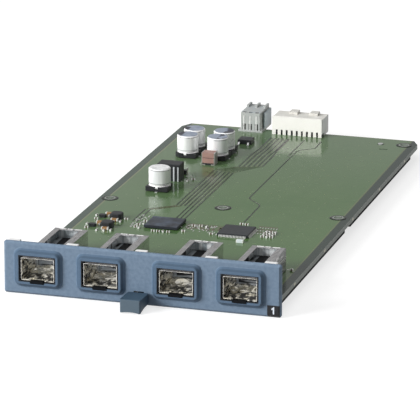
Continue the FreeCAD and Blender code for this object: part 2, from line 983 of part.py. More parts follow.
def screw(head_side, shank):
    """A pan head screw with its seat at height zero, its shank pointing away from the head."""
    head = Part.makeCylinder(
        worth("screw_head_radius"),
        worth("screw_head"),
        FreeCAD.Vector(0, 0, 0),
        FreeCAD.Vector(0, 0, head_side),
    )
    rim = worth("screw_head") / 3
    head = head.makeChamfer(rim, [edge for edge in head.Edges if abs(edge.BoundBox.ZMax * head_side) > rim])
    slot_depth = worth("screw_head") * 0.4
    far = head_side * worth("screw_head")
    low = min(far, far - head_side * slot_depth)
    for long_x, long_y in ((2.4, 0.6), (0.6, 2.4)):
        head = head.cut(brick(long_x, long_y, slot_depth, -long_x / 2, -long_y / 2, low))
    body = Part.makeCylinder(
        worth("screw_radius"), shank, FreeCAD.Vector(0, 0, 0), FreeCAD.Vector(0, 0, -head_side)
    )
    return head.fuse(body).removeSplitter()


cover_screws = []
for x, y in NUTS:
    shape = screw(-1, worth("cover_sheet + board_thickness + nut_flange - nut_sink"))
    shape.translate(FreeCAD.Vector(worth(x), worth(y), worth(f"{BOARD_UNDER} - cover_sheet")))
    cover_screws.append(shape)
new_solids("cover_screws", cover_screws)
bracket_screws = []
for foot in ("-foot_place", "foot_place"):
    shape = screw(1, worth("board_thickness + bracket_sheet * 2"))
    shape.translate(FreeCAD.Vector(worth(foot), worth("foot_screw_back"), worth("board_top")))
    bracket_screws.append(shape)
new_solids("bracket_screws", bracket_screws)

# Port cages with their edge connectors
for number, port in enumerate(PORTS, 1):
    cage = new_body(f"port_cage_{number}", port, "0", "board_top")
    outer = "cage_width / 2"
    inner = "(cage_width / 2 - cage_sheet)"
    raised(cage, "XZ", CAGE_FRONT, "cage_length", rectangle(f"-{outer}", outer, "0", "cage_height"))
    removed(
        cage,
        "XZ",
        f"{CAGE_FRONT} - 1",
        "cage_length + 1 - cage_sheet",
        rectangle(f"-{inner}", inner, "cage_sheet", "cage_height - cage_sheet"),
    )
    removed(
        cage,
        "XY",
        "cage_height - cage_sheet * 2",
        "cage_sheet * 3",
        rectangle("-window_left", "window_right", "window_front", f"{CAGE_REAR} - window_rim"),
    )
    removed(
        cage,
        "XY",
        "cage_height - cage_sheet * 2",
        "cage_sheet * 3",
        rectangle(
            "rim_slot_across - rim_slot / 2",
            "rim_slot_across + rim_slot / 2",
            f"{CAGE_REAR} - window_rim - 1",
            f"{CAGE_REAR} - cage_sheet",
        ),
    )
    removed(
        cage,
        "XY",
        "-cage_sheet",
        "cage_sheet * 3",
        rectangle(
            "-socket_width / 2 - socket_clearance",
            "socket_width / 2 + socket_clearance",
            f"{CAGE_REAR} - socket_rear_gap - socket_depth - socket_clearance",
            f"{CAGE_REAR} - cage_sheet",
        ),
    )
    removed(
        cage,
        "XY",
        "-cage_sheet",
        "cage_sheet * 3",
        *[
            rectangle(edge, f"{edge} + tongue_gap", f"{CAGE_FRONT} - 1", f"{CAGE_FRONT} + tongue_length")
            for edge in ("-notch_width / 2", "(notch_width / 2 - tongue_gap)")
        ],
    )
    tongue = "(notch_width / 2 - tongue_gap)"
    raised(
        cage,
        "XY",
        "0",
        "cage_sheet",
        rectangle(f"-{tongue}", tongue, f"{CAGE_FRONT} - tongue_reach", f"{CAGE_FRONT} + cage_sheet"),
    )
    raised(
        cage,
        "XZ",
        f"{CAGE_FRONT} - tongue_reach",
        "cage_sheet",
        rectangle(f"-{tongue}", tongue, "-tongue_drop", "cage_sheet"),
    )
    legs = []
    for side, step in LEGS:
        edge = f"{side} * (cage_width - cage_sheet) / 2"
        spot = f"leg_front + {step} * leg_pitch"
        legs.append(
            rectangle(
                f"{edge} - cage_sheet / 2",
                f"{edge} + cage_sheet / 2",
                f"{spot} - leg_width / 2",
                f"{spot} + leg_width / 2",
            )
        )
    raised(cage, "XY", "-board_thickness", "board_thickness + cage_sheet", *legs)

    socket = new_body(
        f"port_socket_{number}",
        port,
        f"{CAGE_REAR} - socket_rear_gap - socket_depth",
        "board_top",
    )
    raised(
        socket,
        "XY",
        "0",
        "socket_height",
        rectangle("-socket_width / 2", "socket_width / 2", "0", "socket_depth"),
    )
    removed(
        socket,
        "XZ",
        "-1",
        "mouth_depth + 1",
        rectangle("-mouth_width / 2", "mouth_width / 2", "mouth_base", "mouth_base + mouth_height"),
    )
    dress(
        socket,
        "Chamfer",
        "mouth_height / 4",
        lambda edge: lies_at(edge, "Z", worth("socket_height")) and not lies_at(edge, "Y", worth("socket_depth")),
    )

contacts = []
width = worth("contact_width")
sheet_depth = worth("contact_sheet")
reach = worth("mouth_depth") * 0.9
ways = int(worth("mouth_width") / worth("contact_pitch")) - 3
for port in PORTS:
    for way in range(ways):
        x = worth(port) + (way - (ways - 1) / 2) * worth("contact_pitch") - width / 2
        y = worth(f"{CAGE_REAR} - socket_rear_gap - socket_depth + mouth_depth") - reach
        low = worth("board_top + mouth_base")
        contacts.append(brick(width, reach, sheet_depth, x, y, low))
        high = low + worth("mouth_height") - sheet_depth
        contacts.append(brick(width, reach, sheet_depth, x, y, high))
new_solids("port_contacts", contacts)

# Electrolytic capacitors: the front one has its leads along Y, the four others along X
CANS = [("front_can_across", "front_can_back", False)]
for across in ("can_row_left", "can_row_right"):
    for back in ("can_row_front", "can_row_front + can_row_pitch"):
        CANS.append((across, back, True))
can_leads = []
for number, (x, y, sideways) in enumerate(CANS, 1):
    can = new_body(f"capacitor_can_{number}", x, y, "board_top")
    turned(
        can,
        ("0", "can_seat"),
        ("can_radius - can_round", "can_seat"),
        ("can_radius", "can_seat + can_round"),
        ("can_radius", "can_bead - can_bead_depth"),
        ("can_radius - can_bead_depth", "can_bead"),
        ("can_radius", "can_bead + can_bead_depth"),
        ("can_radius", "can_height - can_round"),
        ("can_radius - can_round", "can_height"),
        ("0", "can_height"),
    )
    base = new_body(f"capacitor_base_{number}", x, y, "board_top")
    side = "base_width / 2"
    cut = "(base_width / 2 - base_corner)"
    if sideways:
        corners = [
            (side, f"-{side}"),
            (side, side),
            (f"-{cut}", side),
            (f"-{side}", cut),
            (f"-{side}", f"-{cut}"),
            (f"-{cut}", f"-{side}"),
        ]
    else:
        corners = [
            (f"-{side}", f"-{side}"),
            (side, f"-{side}"),
            (side, cut),
            (cut, side),
            (f"-{cut}", side),
            (f"-{side}", cut),
        ]
    raised(base, "XY", "lead_sheet", "base_height - lead_sheet", polygon(*corners))
    removed(
        base,
        "XY",
        "can_seat",
        "base_height",
        disc("0", "0", "can_radius + base_clearance * 2"),
    )
    lead_length = worth("base_width / 2 + lead_reach") - 1.0
    lead_width = worth("lead_width")
    for end in (-1, 1):
        start = 1.0 if end > 0 else -1.0 - lead_length
        if sideways:
            lead = brick(lead_length, lead_width, worth("lead_sheet"), start, -lead_width / 2, 0)
        else:
            lead = brick(lead_width, lead_length, worth("lead_sheet"), -lead_width / 2, start, 0)
        lead.translate(FreeCAD.Vector(worth(x), worth(y), worth("board_top")))
        can_leads.append(lead)
new_solids("capacitor_leads", can_leads)

# Boxed inductor with bright strips down its front
choke = new_body("boxed_inductor", "choke_left", "choke_back", "board_top")
raised(choke, "XY", "0", "choke_height", rectangle("0", "choke_width", "0", "choke_depth"))
dress(choke, "Chamfer", "choke_strip / 2", lambda edge: lies_at(edge, "Z", worth("choke_height")))
strips = []
for place_x in (
    "choke_width - choke_strip_inset - choke_strip / 2",
    "choke_width - choke_strip_inset - choke_strip / 2 - choke_strip_pitch",
    "choke_strip_inset + choke_strip / 2",
    "choke_strip_inset + choke_strip / 2 + choke_strip_pitch",
):
    strip = worth("choke_strip")
    strips.append(brick(strip, strip / 3, worth("choke_height * 0.85"), worth(place_x) - strip / 2, -strip / 3, 0))
new_solids("inductor_strips", strips, "choke_left", "choke_back", "board_top")

# Upright rectifier and its heat plate
rectifier = doc.addObject("Part::Box", "rectifier")
rectifier.Label = "rectifier"
bind(rectifier, Length="rectifier_width", Width="rectifier_depth", Height="rectifier_height")
place(rectifier, "rectifier_left", "rectifier_back", "board_top")
plate = doc.addObject("Part::Box", "rectifier_plate")
plate.Label = "rectifier_plate"
bind(plate, Length="rectifier_plate", Width="rectifier_depth * 0.8", Height="rectifier_plate_height")
place(plate, "rectifier_left + rectifier_width", "rectifier_back + rectifier_depth * 0.1", "board_top")

# Stacked ceramic capacitor: two bricks, a gap apart, between bent end plates
stack = []
frames = []
for level in (0, 1):
    stack.append(
        brick(
            worth("brick_width"),
            worth("brick_depth"),
            worth("brick_height"),
            0,
            0,
            worth(f"brick_lift + {level} * (brick_height + brick_gap)"),
        )
    )
stack.append(
    brick(
        worth("brick_width - frame_foot * 2"),
        worth("brick_depth"),
        worth("brick_lift"),
        worth("frame_foot"),
        0,
        0,
    )
)
new_solids("stacked_capacitor", stack[:2], "brick_left", "brick_back", "board_top")
new_solids("stack_base", stack[2:], "brick_left", "brick_back", "board_top")
for side in (0, 1):
    thick = worth("frame_sheet")
    foot_length = worth("frame_foot") - 0.1
    upright = brick(thick, worth("brick_depth"), worth("brick_lift + brick_height * 2 + brick_gap"), -thick, 0, 0)
    foot = brick(foot_length + thick, worth("brick_depth"), thick, -thick, 0, 0)
    frame = upright.fuse(foot).removeSplitter()
    if side:
        frame = frame.mirror(FreeCAD.Vector(worth("brick_width") / 2, 0, 0), FreeCAD.Vector(1, 0, 0))
    frames.append(frame)
new_solids("stack_frames", frames, "brick_left", "brick_back", "board_top")

# Power switch: moulded body, two bent leads at the front and a tab at the back
switch = new_body("power_switch", "switch_left", "switch_back", "board_top")
raised(
    switch,
    "XY",
    "switch_lift",
    "switch_height - switch_lift",
    rectangle("0", "switch_width", "0", "switch_depth"),
)
dress(switch, "Chamfer", "switch_lift * 2", lambda edge: lies_at(edge, "Z", worth("switch_height")))
switch_leads = []
lead = worth("switch_lead_width")
thick = worth("switch_lead_sheet")
reach = worth("switch_lead_reach")
for sign in (-1, 1):
    x = worth("switch_width / 2") + sign * worth("switch_lead_pitch / 2") - lead / 2
    profile = [
        (0, 1.3),
        (0, 1.3 - thick),
        (-0.35 * reach, 1.3 - thick),
        (-0.6 * reach, 0),
        (-reach, 0),
        (-reach, thick),
        (-0.6 * reach - 0.4 * thick, thick),
        (-0.35 * reach - 0.4 * thick, 1.3),
    ]
    points = [FreeCAD.Vector(x, y, z) for y, z in profile]
    face = Part.Face(Part.makePolygon(points + points[:1]))
    switch_leads.append(face.extrude(FreeCAD.Vector(lead, 0, 0)))
tab = worth("switch_tab_width")
switch_leads.append(
    brick(
        tab,
        worth("switch_tab_reach"),
        thick,
        worth("switch_width / 2") - tab / 2,
        worth("switch_depth"),
        0,
    )
)
new_solids("switch_leads", switch_leads, "switch_left", "switch_back", "board_top")

# Ball-grid chip on its carrier, and the leaded chip
carrier = new_body("grid_chip", "grid_chip_left", "grid_chip_back", "board_top")
raised(
    carrier,
    "XY",
    "grid_chip_lift",
    "grid_chip_height - grid_chip_lift",
    rectangle("0", "grid_chip_width", "0", "grid_chip_depth"),
)
dress(carrier, "Chamfer", "grid_chip_lift / 2", lambda edge: lies_at(edge, "Z", worth("grid_chip_height")))
balls = []
rows = 4
for column in range(rows):
    for line in range(rows):
        x = worth("grid_chip_width") * (column + 0.5) / rows
        y = worth("grid_chip_depth") * (line + 0.5) / rows
        balls.append(Part.makeCylinder(0.4, worth("grid_chip_lift"), FreeCAD.Vector(x, y, 0)))
new_solids("grid_chip_balls", balls, "grid_chip_left", "grid_chip_back", "board_top")

chip = new_body("flat_chip", "flat_chip_left", "flat_chip_back", "board_top")
raised(
    chip,
    "XY",
    "flat_chip_lift",
    "flat_chip_height - flat_chip_lift",
    rectangle("0", "flat_chip_width", "0", "flat_chip_width"),
)
dress(chip, "Chamfer", "flat_chip_lift", lambda edge: lies_at(edge, "Z", worth("flat_chip_height")))
side = worth("flat_chip_width")
pitch = worth("flat_lead_pitch")
thick = worth("flat_lead_sheet")
reach = worth("flat_lead_reach")
high = worth("flat_lead_height")
profile = [
    (0, high),
    (0, high - thick),
    (-0.25 * reach, high - thick),
    (-0.5 * reach, 0),
    (-reach, 0),
    (-reach, thick),
    (-0.5 * reach - thick / 2, thick),
    (-0.25 * reach - thick / 2, high),
]
flat_leads = []
count = int((side - 1.0) / pitch)
middle = FreeCAD.Vector(side / 2, side / 2, 0)
for way in range(count):
    x = side / 2 + (way - (count - 1) / 2) * pitch - worth("flat_lead_width") / 2
    points = [FreeCAD.Vector(x, y, z) for y, z in profile]
    face = Part.Face(Part.makePolygon(points + points[:1]))
    lead = face.extrude(FreeCAD.Vector(worth("flat_lead_width"), 0, 0))
    for quarter in range(4):
        turned_lead = lead.copy()
        turned_lead.rotate(middle, FreeCAD.Vector(0, 0, 1), 90 * quarter)
        flat_leads.append(turned_lead)
new_solids("flat_chip_leads", flat_leads, "flat_chip_left", "flat_chip_back", "board_top")

# Filter inductors, small coil beads and chip parts beside them
for number in (1, 2):
    block = new_body(
        f"filter_inductor_{number}",
        "filter_across",
        f"filter_back + {number - 1} * filter_pitch",
        "board_top",
    )
    size = "filter_block / 2"
    cut = "(filter_block / 2 - filter_block / 5)"
    raised(
        block,
        "XY",
        "0",
        "filter_block_height",
        polygon(
            (f"-{cut}", f"-{size}"),
            (cut, f"-{size}"),
            (size, f"-{cut}"),
            (size, cut),
            (cut, size),
            (f"-{cut}", size),
            (f"-{size}", cut),
            (f"-{size}", f"-{cut}"),
        ),
    )
    dress(
        block,
        "Chamfer",
        "filter_block_height / 8",
        lambda edge: lies_at(edge, "Z", worth("filter_block_height")),
    )
beads = []
for step in (0, 1):
    body = brick(worth("bead_width"), worth("bead_depth"), worth("bead_height"))
    body = body.makeFillet(worth("bead_depth") * 0.3, [edge for edge in body.Edges if runs_along(edge, "Z")])
    body.translate(
        FreeCAD.Vector(
            worth("bead_across - bead_width / 2"),
            worth(f"bead_back + {step} * bead_pitch"),
            worth("board_top"),
        )
    )
    beads.append(body)
new_solids("coil_beads", beads)


def chip_parts(spots, size):
    """Bodies and end caps of chip parts; size is the start of their size names."""
    length, wide, high, end = [worth(f"{size}_{name}") for name in ("length", "width", "height", "end")]
    bodies = []
    ends = []
    for across, back, along_x in spots:
        parts = [brick(length - 2 * end, wide, high, -length / 2 + end, -wide / 2, 0)]
        parts.append(brick(end, wide, high, -length / 2, -wide / 2, 0))
        parts.append(brick(end, wide, high, length / 2 - end, -wide / 2, 0))
        for part in parts:
            if not along_x:
                part.rotate(FreeCAD.Vector(0, 0, 0), FreeCAD.Vector(0, 0, 1), 90)
            part.translate(FreeCAD.Vector(across, back, worth("board_top")))
        bodies.append(parts[0])
        ends += parts[1:]
    return bodies, ends


# Chip capacitors and small chips beside the filter inductors, one set to each inductor, in grid steps
CHIPS_BESIDE = [(1, -20, True), (-24, 21, True)]
SMALL_BESIDE = [
    (-14, -32, False),
    (2, -31, False),
    (16, -25, False),
    (-49, 7, False),
    (-42, -18, True),
    (-21, 8, False),
]
# Small chips around the two large chips, beside the right port and before the boxed inductor
SMALL_ROWS = [
    [(-178, 470, True), (268, 216, True), (-137, 798, False), (-128, 815, True)],
    [(-96, 403, True), (-84, 403, True), (-73, 404, False), (-62, 405, True)],
    [(-142, 423, True), (-132, 416, False), (-140, 439, True), (-131, 448, False), (-133, 468, True)],
    [(-31, 418, True), (-22, 465, True), (-6, 467, True), (8, 464, False), (32, 418, True)],
    [(75, 508, True), (87, 507, True)],
]
grid = worth("layout_grid")
chip_spots = []
small_spots = []
for step in (0, 1):
    x = worth("filter_across")
    y = worth(f"filter_back + {step} * filter_pitch")
    chip_spots += [(x + across * grid, y + back * grid, along_x) for across, back, along_x in CHIPS_BESIDE]
    small_spots += [(x + across * grid, y + back * grid, along_x) for across, back, along_x in SMALL_BESIDE]
for row in SMALL_ROWS:
    small_spots += [(across * grid, back * grid, along_x) for across, back, along_x in row]
for column in range(3):
    for line in range(4):
        along_x = (column + line) % 2 == 0
        small_spots.append(((144 + column * 10) * grid, (430 + line * 12) * grid, along_x))
chip_spots.append((108 * grid, 380 * grid, True))
chip_bodies, chip_ends = chip_parts(chip_spots, "chip")
small_bodies, small_ends = chip_parts(small_spots, "small_chip")
new_solids("chip_capacitors", chip_bodies)
new_solids("small_chips", small_bodies)
new_solids("chip_ends", chip_ends + small_ends)

# Power header: block with three blade slits, foot, side cheeks and ribs on top
power_front = "(board_rear + power_overhang - power_depth)"
power = new_body("power_header", "power_left", power_front, "board_top")
raised(power, "XY", "0", "power_height", rectangle("0", "power_width", "0", "power_depth"))
ways = ["power_width / 2 - power_pitch", "power_width / 2", "power_width / 2 + power_pitch"]
removed(
    power,
    "XZ",
    "-1",
    "power_recess_depth + 1",
    *[
        rectangle(
            f"{way} - power_slit / 2",
            f"{way} + power_slit / 2",
            "power_height - power_slit_drop - power_slit_height",
            "power_height - power_slit_drop",
        )
        for way in ways
    ],
)
removed(
    power,
    "XZ",
    "-1",
    "power_recess_depth + 1",
    *[
        rectangle(
            f"{way} - power_slit",
            f"{way} + power_slit",
            "power_foot",
            "power_recess",
        )
        for way in ways
    ],
)
removed(
    power,
    "XZ",
    "power_depth - power_mouth_depth",
    "power_mouth_depth + 1",
    *[
        rectangle(
            f"{way} - power_mouth / 2",
            f"{way} + power_mouth / 2",
            "power_foot * 2",
            "power_height - power_foot * 2",
        )
        for way in ways
    ],
)
raised(
    power,
    "XY",
    "0",
    "power_foot",
    rectangle("-power_foot_side", "power_width + power_foot_side", "-power_foot_front", "power_foot_depth"),
)
for step in ("-1", "0", "1"):
    middle = f"(power_width / 2 + {step} * power_rib_pitch)"
    raised(
        power,
        "XY",
        "power_height - power_foot",
        "power_foot + power_rib",
        rectangle(
            f"{middle} - power_rib / 2",
            f"{middle} + power_rib / 2",
            "power_depth - power_rib_length",
            "power_depth",
        ),
    )
for start in ("-power_cheek_gap - power_cheek", "power_width + power_cheek_gap"):
    raised(
        power,
        "YZ",
        start,
        "power_cheek",
        rectangle(
            "power_cheek_front",
            "power_cheek_front + power_cheek_depth",
            "0",
            "power_height - power_cheek_drop",
        ),
    )
for start in ("-power_cheek_gap", "power_width"):
    raised(
        power,
        "YZ",
        start,
        "power_cheek_gap",
        rectangle(
            "power_cheek_front + power_cheek_depth / 2",
            "power_cheek_front + power_cheek_depth",
            "0",
            "power_height - power_cheek_drop",
        ),
    )
blades = []
for way in ways:
    x = worth(way) - worth("power_blade") / 2
    thick = worth("power_blade")
    top = worth("power_height - power_slit_drop")
    height = worth("power_slit_height")
    blades.append(brick(thick, worth("power_recess_depth") * 0.6, height, x, 0.1, top - height))
    low = worth("power_foot * 2")
    high = worth("power_height - power_foot * 2")
    start = worth("power_depth - power_mouth_depth")
    blades.append(brick(thick, worth("power_mouth_depth") * 0.8, high - low, x, start, low))
new_solids("power_blades", blades, "power_left", power_front, "board_top")

# Signal header: front wall over a lower block, pin slits below, ribs on top and cells at the rear
signal_front = "(board_rear + signal_overhang - signal_depth)"
signal_width = "((signal_ways - 1) * signal_pitch + signal_side * 2)"
signal = new_body("signal_header", "signal_left", signal_front, "board_top")
raised(
    signal,
    "XY",
    "0",
    "signal_height - signal_step",
    rectangle("0", signal_width, "0", "signal_depth"),
)
raised(signal, "XY", "0", "signal_height", rectangle("0", signal_width, "0", "signal_wall"))
for step in (0, 1):
    left = f"(signal_rib_left + {step} * signal_rib_pitch)"
    raised(
        signal,
        "XY",
        "signal_height - signal_step * 2",
        "signal_step + signal_rib",
        rectangle(left, f"{left} + signal_rib_width", "signal_depth - signal_rib_depth", "signal_depth"),
    )
first_slit = removed(
    signal,
    "XZ",
    "-1",
    "signal_slit_depth + 1",
    rectangle(
        "signal_side + signal_pitch / 2 - signal_slit / 2",
        "signal_side + signal_pitch / 2 + signal_slit / 2",
        "-1",
        "signal_slit_height",
    ),
)
doc.recompute()
slits = signal.newObject("PartDesign::LinearPattern", "pin_slits")
slits.Originals = [first_slit]
slits.Direction = (first_slit.Profile[0], ["H_Axis"])
bind(slits, Length="(signal_ways - 2) * signal_pitch", Occurrences="signal_ways - 1")
signal.Tip = slits
cells = removed(
    signal,
    "XZ",
    "signal_depth - signal_cell_depth",
    "signal_cell_depth + 1",
    *[
        rectangle(
            "signal_side - signal_cell / 2",
            "signal_side + signal_cell / 2",
            f"signal_cell_base + {row} * signal_row_pitch",
            f"signal_cell_base + {row} * signal_row_pitch + signal_cell",
        )
        for row in (0, 1)
    ],
)
doc.recompute()
cell_row = signal.newObject("PartDesign::LinearPattern", "contact_cells")
cell_row.Originals = [cells]
cell_row.Direction = (cells.Profile[0], ["H_Axis"])
bind(cell_row, Length="(signal_ways - 1) * signal_pitch", Occurrences="signal_ways")
signal.Tip = cell_row
signal_pins = []
thick = worth("signal_pin")
length = worth("signal_cell_depth") * 0.8
for row in (0, 1):
    for way in range(int(worth("signal_ways"))):
        x = worth(f"signal_side + {way} * signal_pitch") - thick / 2
        z = worth(f"signal_cell_base + {row} * signal_row_pitch + signal_cell / 2") - thick / 2
        signal_pins.append(brick(thick, length, thick, x, worth("signal_depth - signal_cell_depth"), z))
new_solids("signal_pins", signal_pins, "signal_left", signal_front, "board_top")

# Ground pin near the rear right corner
ground_pin = doc.addObject("Part::Cylinder", "ground_pin")
ground_pin.Label = "ground_pin"
bind(ground_pin, Radius="ground_pin_radius", Height="ground_pin_height")
place(ground_pin, "ground_pin_across", "ground_pin_back", "board_top")

# Every feature is sound, and every piece is a whole solid, before anything is written
doc.recompute()
faults = [item.Name for item in doc.Objects if "Invalid" in item.State or "Error" in item.State]
for piece in pieces:
    shape = piece.Shape
    if shape.isNull() or not shape.isValid() or not shape.Solids or shape.Volume <= 0:
        faults.append(piece.Label)
if faults:
    raise RuntimeError("unsound: " + ", ".join(faults))
os.makedirs("parts", exist_ok=True)
for piece in pieces:
    piece.Shape.exportStep(os.path.join("parts", piece.Label + ".step"))
    print(piece.Label, len(piece.Shape.Solids), round(piece.Shape.Volume, 2))
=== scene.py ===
"""Looks of the switch line card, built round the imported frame. Named sizes and places are millimetres."""
import json
import math
import random

import bmesh
import bpy
from mathutils import Matrix, Vector, noise


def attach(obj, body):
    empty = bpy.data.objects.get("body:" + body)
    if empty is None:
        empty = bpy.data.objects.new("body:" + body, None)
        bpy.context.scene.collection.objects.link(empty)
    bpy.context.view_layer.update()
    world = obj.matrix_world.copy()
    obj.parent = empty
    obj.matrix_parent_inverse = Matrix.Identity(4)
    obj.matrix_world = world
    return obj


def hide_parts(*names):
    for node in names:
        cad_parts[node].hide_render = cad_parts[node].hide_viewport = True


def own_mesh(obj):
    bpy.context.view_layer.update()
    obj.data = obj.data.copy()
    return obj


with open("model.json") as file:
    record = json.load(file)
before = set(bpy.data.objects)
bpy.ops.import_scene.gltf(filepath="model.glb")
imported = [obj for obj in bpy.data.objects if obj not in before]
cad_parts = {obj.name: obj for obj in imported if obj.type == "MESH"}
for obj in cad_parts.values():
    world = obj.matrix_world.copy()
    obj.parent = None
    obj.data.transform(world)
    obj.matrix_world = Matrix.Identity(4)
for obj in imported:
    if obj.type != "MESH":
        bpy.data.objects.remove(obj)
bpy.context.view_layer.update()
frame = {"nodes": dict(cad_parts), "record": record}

MM = 0.001

# Heights stand over the card's underside. Faces, fronts and the board's rear are places along y.
PANEL_FACE = -127.7
FRAME_FACE = PANEL_FACE - 1.75
LEVER_FACE = PANEL_FACE - 11.9
POWER_FRONT = 123.2
SIGNAL_FRONT = 122.3

# From the middle line of the board to that of the whole card.
CARD_SHIFT = -0.9

BOARD_TOP = 6.6
BOARD_LEFT, BOARD_RIGHT = -59.0, 57.8
BOARD_REAR = PANEL_FACE + 257.5

# The board's bare margin, the pale line within it, and the spacing of copper stubs in the cut edge.
MARGIN, MARGIN_LINE = 3.7, 0.7
STUB_STEP = 49.0

CAN_TOP = BOARD_TOP + 10.5
CAGE_ROOF = BOARD_TOP + 9.48

# Across the whole card.
PORTS = [-44.7, -17.3, 15.5, 42.9]
POWER_WAYS = [-27.5, -24.45, -21.4]
SIGNAL_LEFT, SIGNAL_RIGHT = -13.1, 11.2

# Across from the board's middle line and back from the panel's face.
NUTS = [(-52.9, 123.8), (0.0, 123.8), (52.9, 123.8), (-52.9, 248.7), (52.9, 248.7)]
CANS = [(-35.9, 144.2), (-40.0, 201.8), (-40.0, 212.8), (-25.4, 201.8), (-25.4, 212.8)]
GROUND_PIN = (41.7, 247.6)


def at(across, back, height):
    """Metres from millimetres: across from the board's middle line, back from the panel's face, height."""
    return Vector((across + CARD_SHIFT, back + PANEL_FACE, height)) * MM


# Node trees

class Graph:
    """Short ways to add and join the nodes of one tree."""

    def __init__(self, tree):
        self.tree = tree

    def node(self, kind, **settings):
        item = self.tree.nodes.new(kind)
        for name, value in settings.items():
            setattr(item, name, value)
        return item

    def feed(self, socket, value):
        """Link a socket's value, or set a plain one; a colour of three numbers is made opaque."""
        if isinstance(value, bpy.types.NodeSocket):
            self.tree.links.new(value, socket)
        elif socket.type == "RGBA" and len(value) == 3:
            socket.default_value = (*value, 1.0)
        elif value is not None:
            socket.default_value = value

    def math(self, operation, first, second=None, clamp=False):
        item = self.node("ShaderNodeMath", operation=operation, use_clamp=clamp)
        for socket, value in zip(item.inputs, (first, second)):
            self.feed(socket, value)
        return item.outputs[0]

    def mix(self, share, first, second):
        item = self.node("ShaderNodeMix", data_type="RGBA")
        self.feed(item.inputs["Factor"], share)
        self.feed(item.inputs[6], first)
        self.feed(item.inputs[7], second)
        return item.outputs[2]

    def blend(self, share, first, second):
        item = self.node("ShaderNodeMix", data_type="FLOAT")
        self.feed(item.inputs["Factor"], share)
        self.feed(item.inputs[2], first)
        self.feed(item.inputs[3], second)
        return item.outputs[0]

    def spread(self, value, low, high, to_low=0.0, to_high=1.0):
        item = self.node("ShaderNodeMapRange")
        for socket, number in zip(item.inputs, (value, low, high, to_low, to_high)):
            self.feed(socket, number)
        return item.outputs[0]

    def noise(self, where, scale, detail=3.0, rough=0.55):
        """Noise of one scale, or of three scales along the axes."""
        if isinstance(scale, tuple):
            mapping = self.node("ShaderNodeMapping")
            self.feed(mapping.inputs["Vector"], where)
            mapping.inputs["Scale"].default_value = scale
            where, scale = mapping.outputs[0], 1.0
        item = self.node("ShaderNodeTexNoise")
        self.feed(item.inputs["Vector"], where)
        self.feed(item.inputs["Scale"], scale)
        item.inputs["Detail"].default_value = detail
        item.inputs["Roughness"].default_value = rough
        return item.outputs[0]

    def axes(self, where):
        item = self.node("ShaderNodeSeparateXYZ")
        self.feed(item.inputs[0], where)
        return item.outputs

    def joined(self, operation, values):
        """The sum or the product of several values."""
        total, *others = values
        for value in others:
            total = self.math(operation, total, value)
        return total

    def object_place(self):
        return self.node("ShaderNodeTexCoord").outputs["Object"]


def new_group(name, inputs, outputs, build):
    """A shader node group with named sockets; build fills it and returns its output values."""
    tree = bpy.data.node_groups.new(name, "ShaderNodeTree")
    for label, kind, value in inputs:
        socket = tree.interface.new_socket(name=label, in_out="INPUT", socket_type=kind)
        socket.default_value = value
    for label, kind in outputs:
        tree.interface.new_socket(name=label, in_out="OUTPUT", socket_type=kind)
    graph = Graph(tree)
    given = graph.node("NodeGroupInput").outputs
    result = graph.node("NodeGroupOutput").inputs
    for label, value in build(graph, given).items():
        graph.feed(result[label], value)
    return tree


FLOAT, COLOUR, VECTOR = "NodeSocketFloat", "NodeSocketColor", "NodeSocketVector"


def build_mottle(graph, given):
    """Broad and fine clouds of a second colour."""
    where = graph.object_place()
    broad = graph.noise(where, given["Scale"], 4.0)
    fine = graph.noise(where, graph.math("MULTIPLY", given["Scale"], 9.0), 2.0)
    cloud = graph.math("ADD", graph.math("MULTIPLY", broad, 0.65), graph.math("MULTIPLY", fine, 0.35))
    share = graph.math("MULTIPLY", graph.spread(cloud, 0.36, 0.64), given["Amount"])
    return {"Colour": graph.mix(share, given["Colour"], given["Shade"]), "Cloud": cloud}


def build_grain(graph, given):
    """Fine pits over low waves."""
    where = graph.object_place()
    pits = graph.noise(where, given["Scale"], 2.0, 0.7)
    waves = graph.noise(where, graph.math("MULTIPLY", given["Scale"], 0.08), 2.0)
    return {"Height": graph.math("ADD", pits, graph.math("MULTIPLY", waves, given["Waves"]))}


def build_worn_edge(graph, given):
    """A rounded normal at edges, and a patchy mask along them for the edge colour, used for rubbed edges and
    for painted edge highlights.
    """
    bevel = graph.node("ShaderNodeBevel", samples=4)
    graph.feed(bevel.inputs["Radius"], given["Radius"])
    geometry = graph.node("ShaderNodeNewGeometry")
    dot = graph.node("ShaderNodeVectorMath", operation="DOT_PRODUCT")
    graph.feed(dot.inputs[0], bevel.outputs[0])
    graph.feed(dot.inputs[1], geometry.outputs["True Normal"])
    bare = graph.spread(dot.outputs["Value"], 0.97, 0.75)
    patches = graph.spread(graph.noise(graph.object_place(), 900.0, 3.0), 0.35, 0.6)
    wear = graph.math("MULTIPLY", graph.math("MULTIPLY", bare, patches), given["Wear"], clamp=True)
    return {"Normal": bevel.outputs[0], "Wear": wear}


MOTTLE = new_group(
    "mottle",
    [
        ("Colour", COLOUR, (0.5, 0.5, 0.5, 1)),
        ("Shade", COLOUR, (0.4, 0.4, 0.4, 1)),
        ("Scale", FLOAT, 60.0),
        ("Amount", FLOAT, 0.5),
    ],
    [("Colour", COLOUR), ("Cloud", FLOAT)],
    build_mottle,
)
GRAIN = new_group(
    "surface_grain", [("Scale", FLOAT, 3000.0), ("Waves", FLOAT, 0.5)], [("Height", FLOAT)], build_grain
)
RUBBED_AND_LIT_EDGE = new_group(
    "worn_edge",
    [("Radius", FLOAT, 0.0002), ("Wear", FLOAT, 0.3)],
    [("Normal", VECTOR), ("Wear", FLOAT)],
    build_worn_edge,
)


def use_group(graph, tree, **values):
    item = graph.node("ShaderNodeGroup", node_tree=tree)
    for name, value in values.items():
        graph.feed(item.inputs[name], value)
    return item.outputs


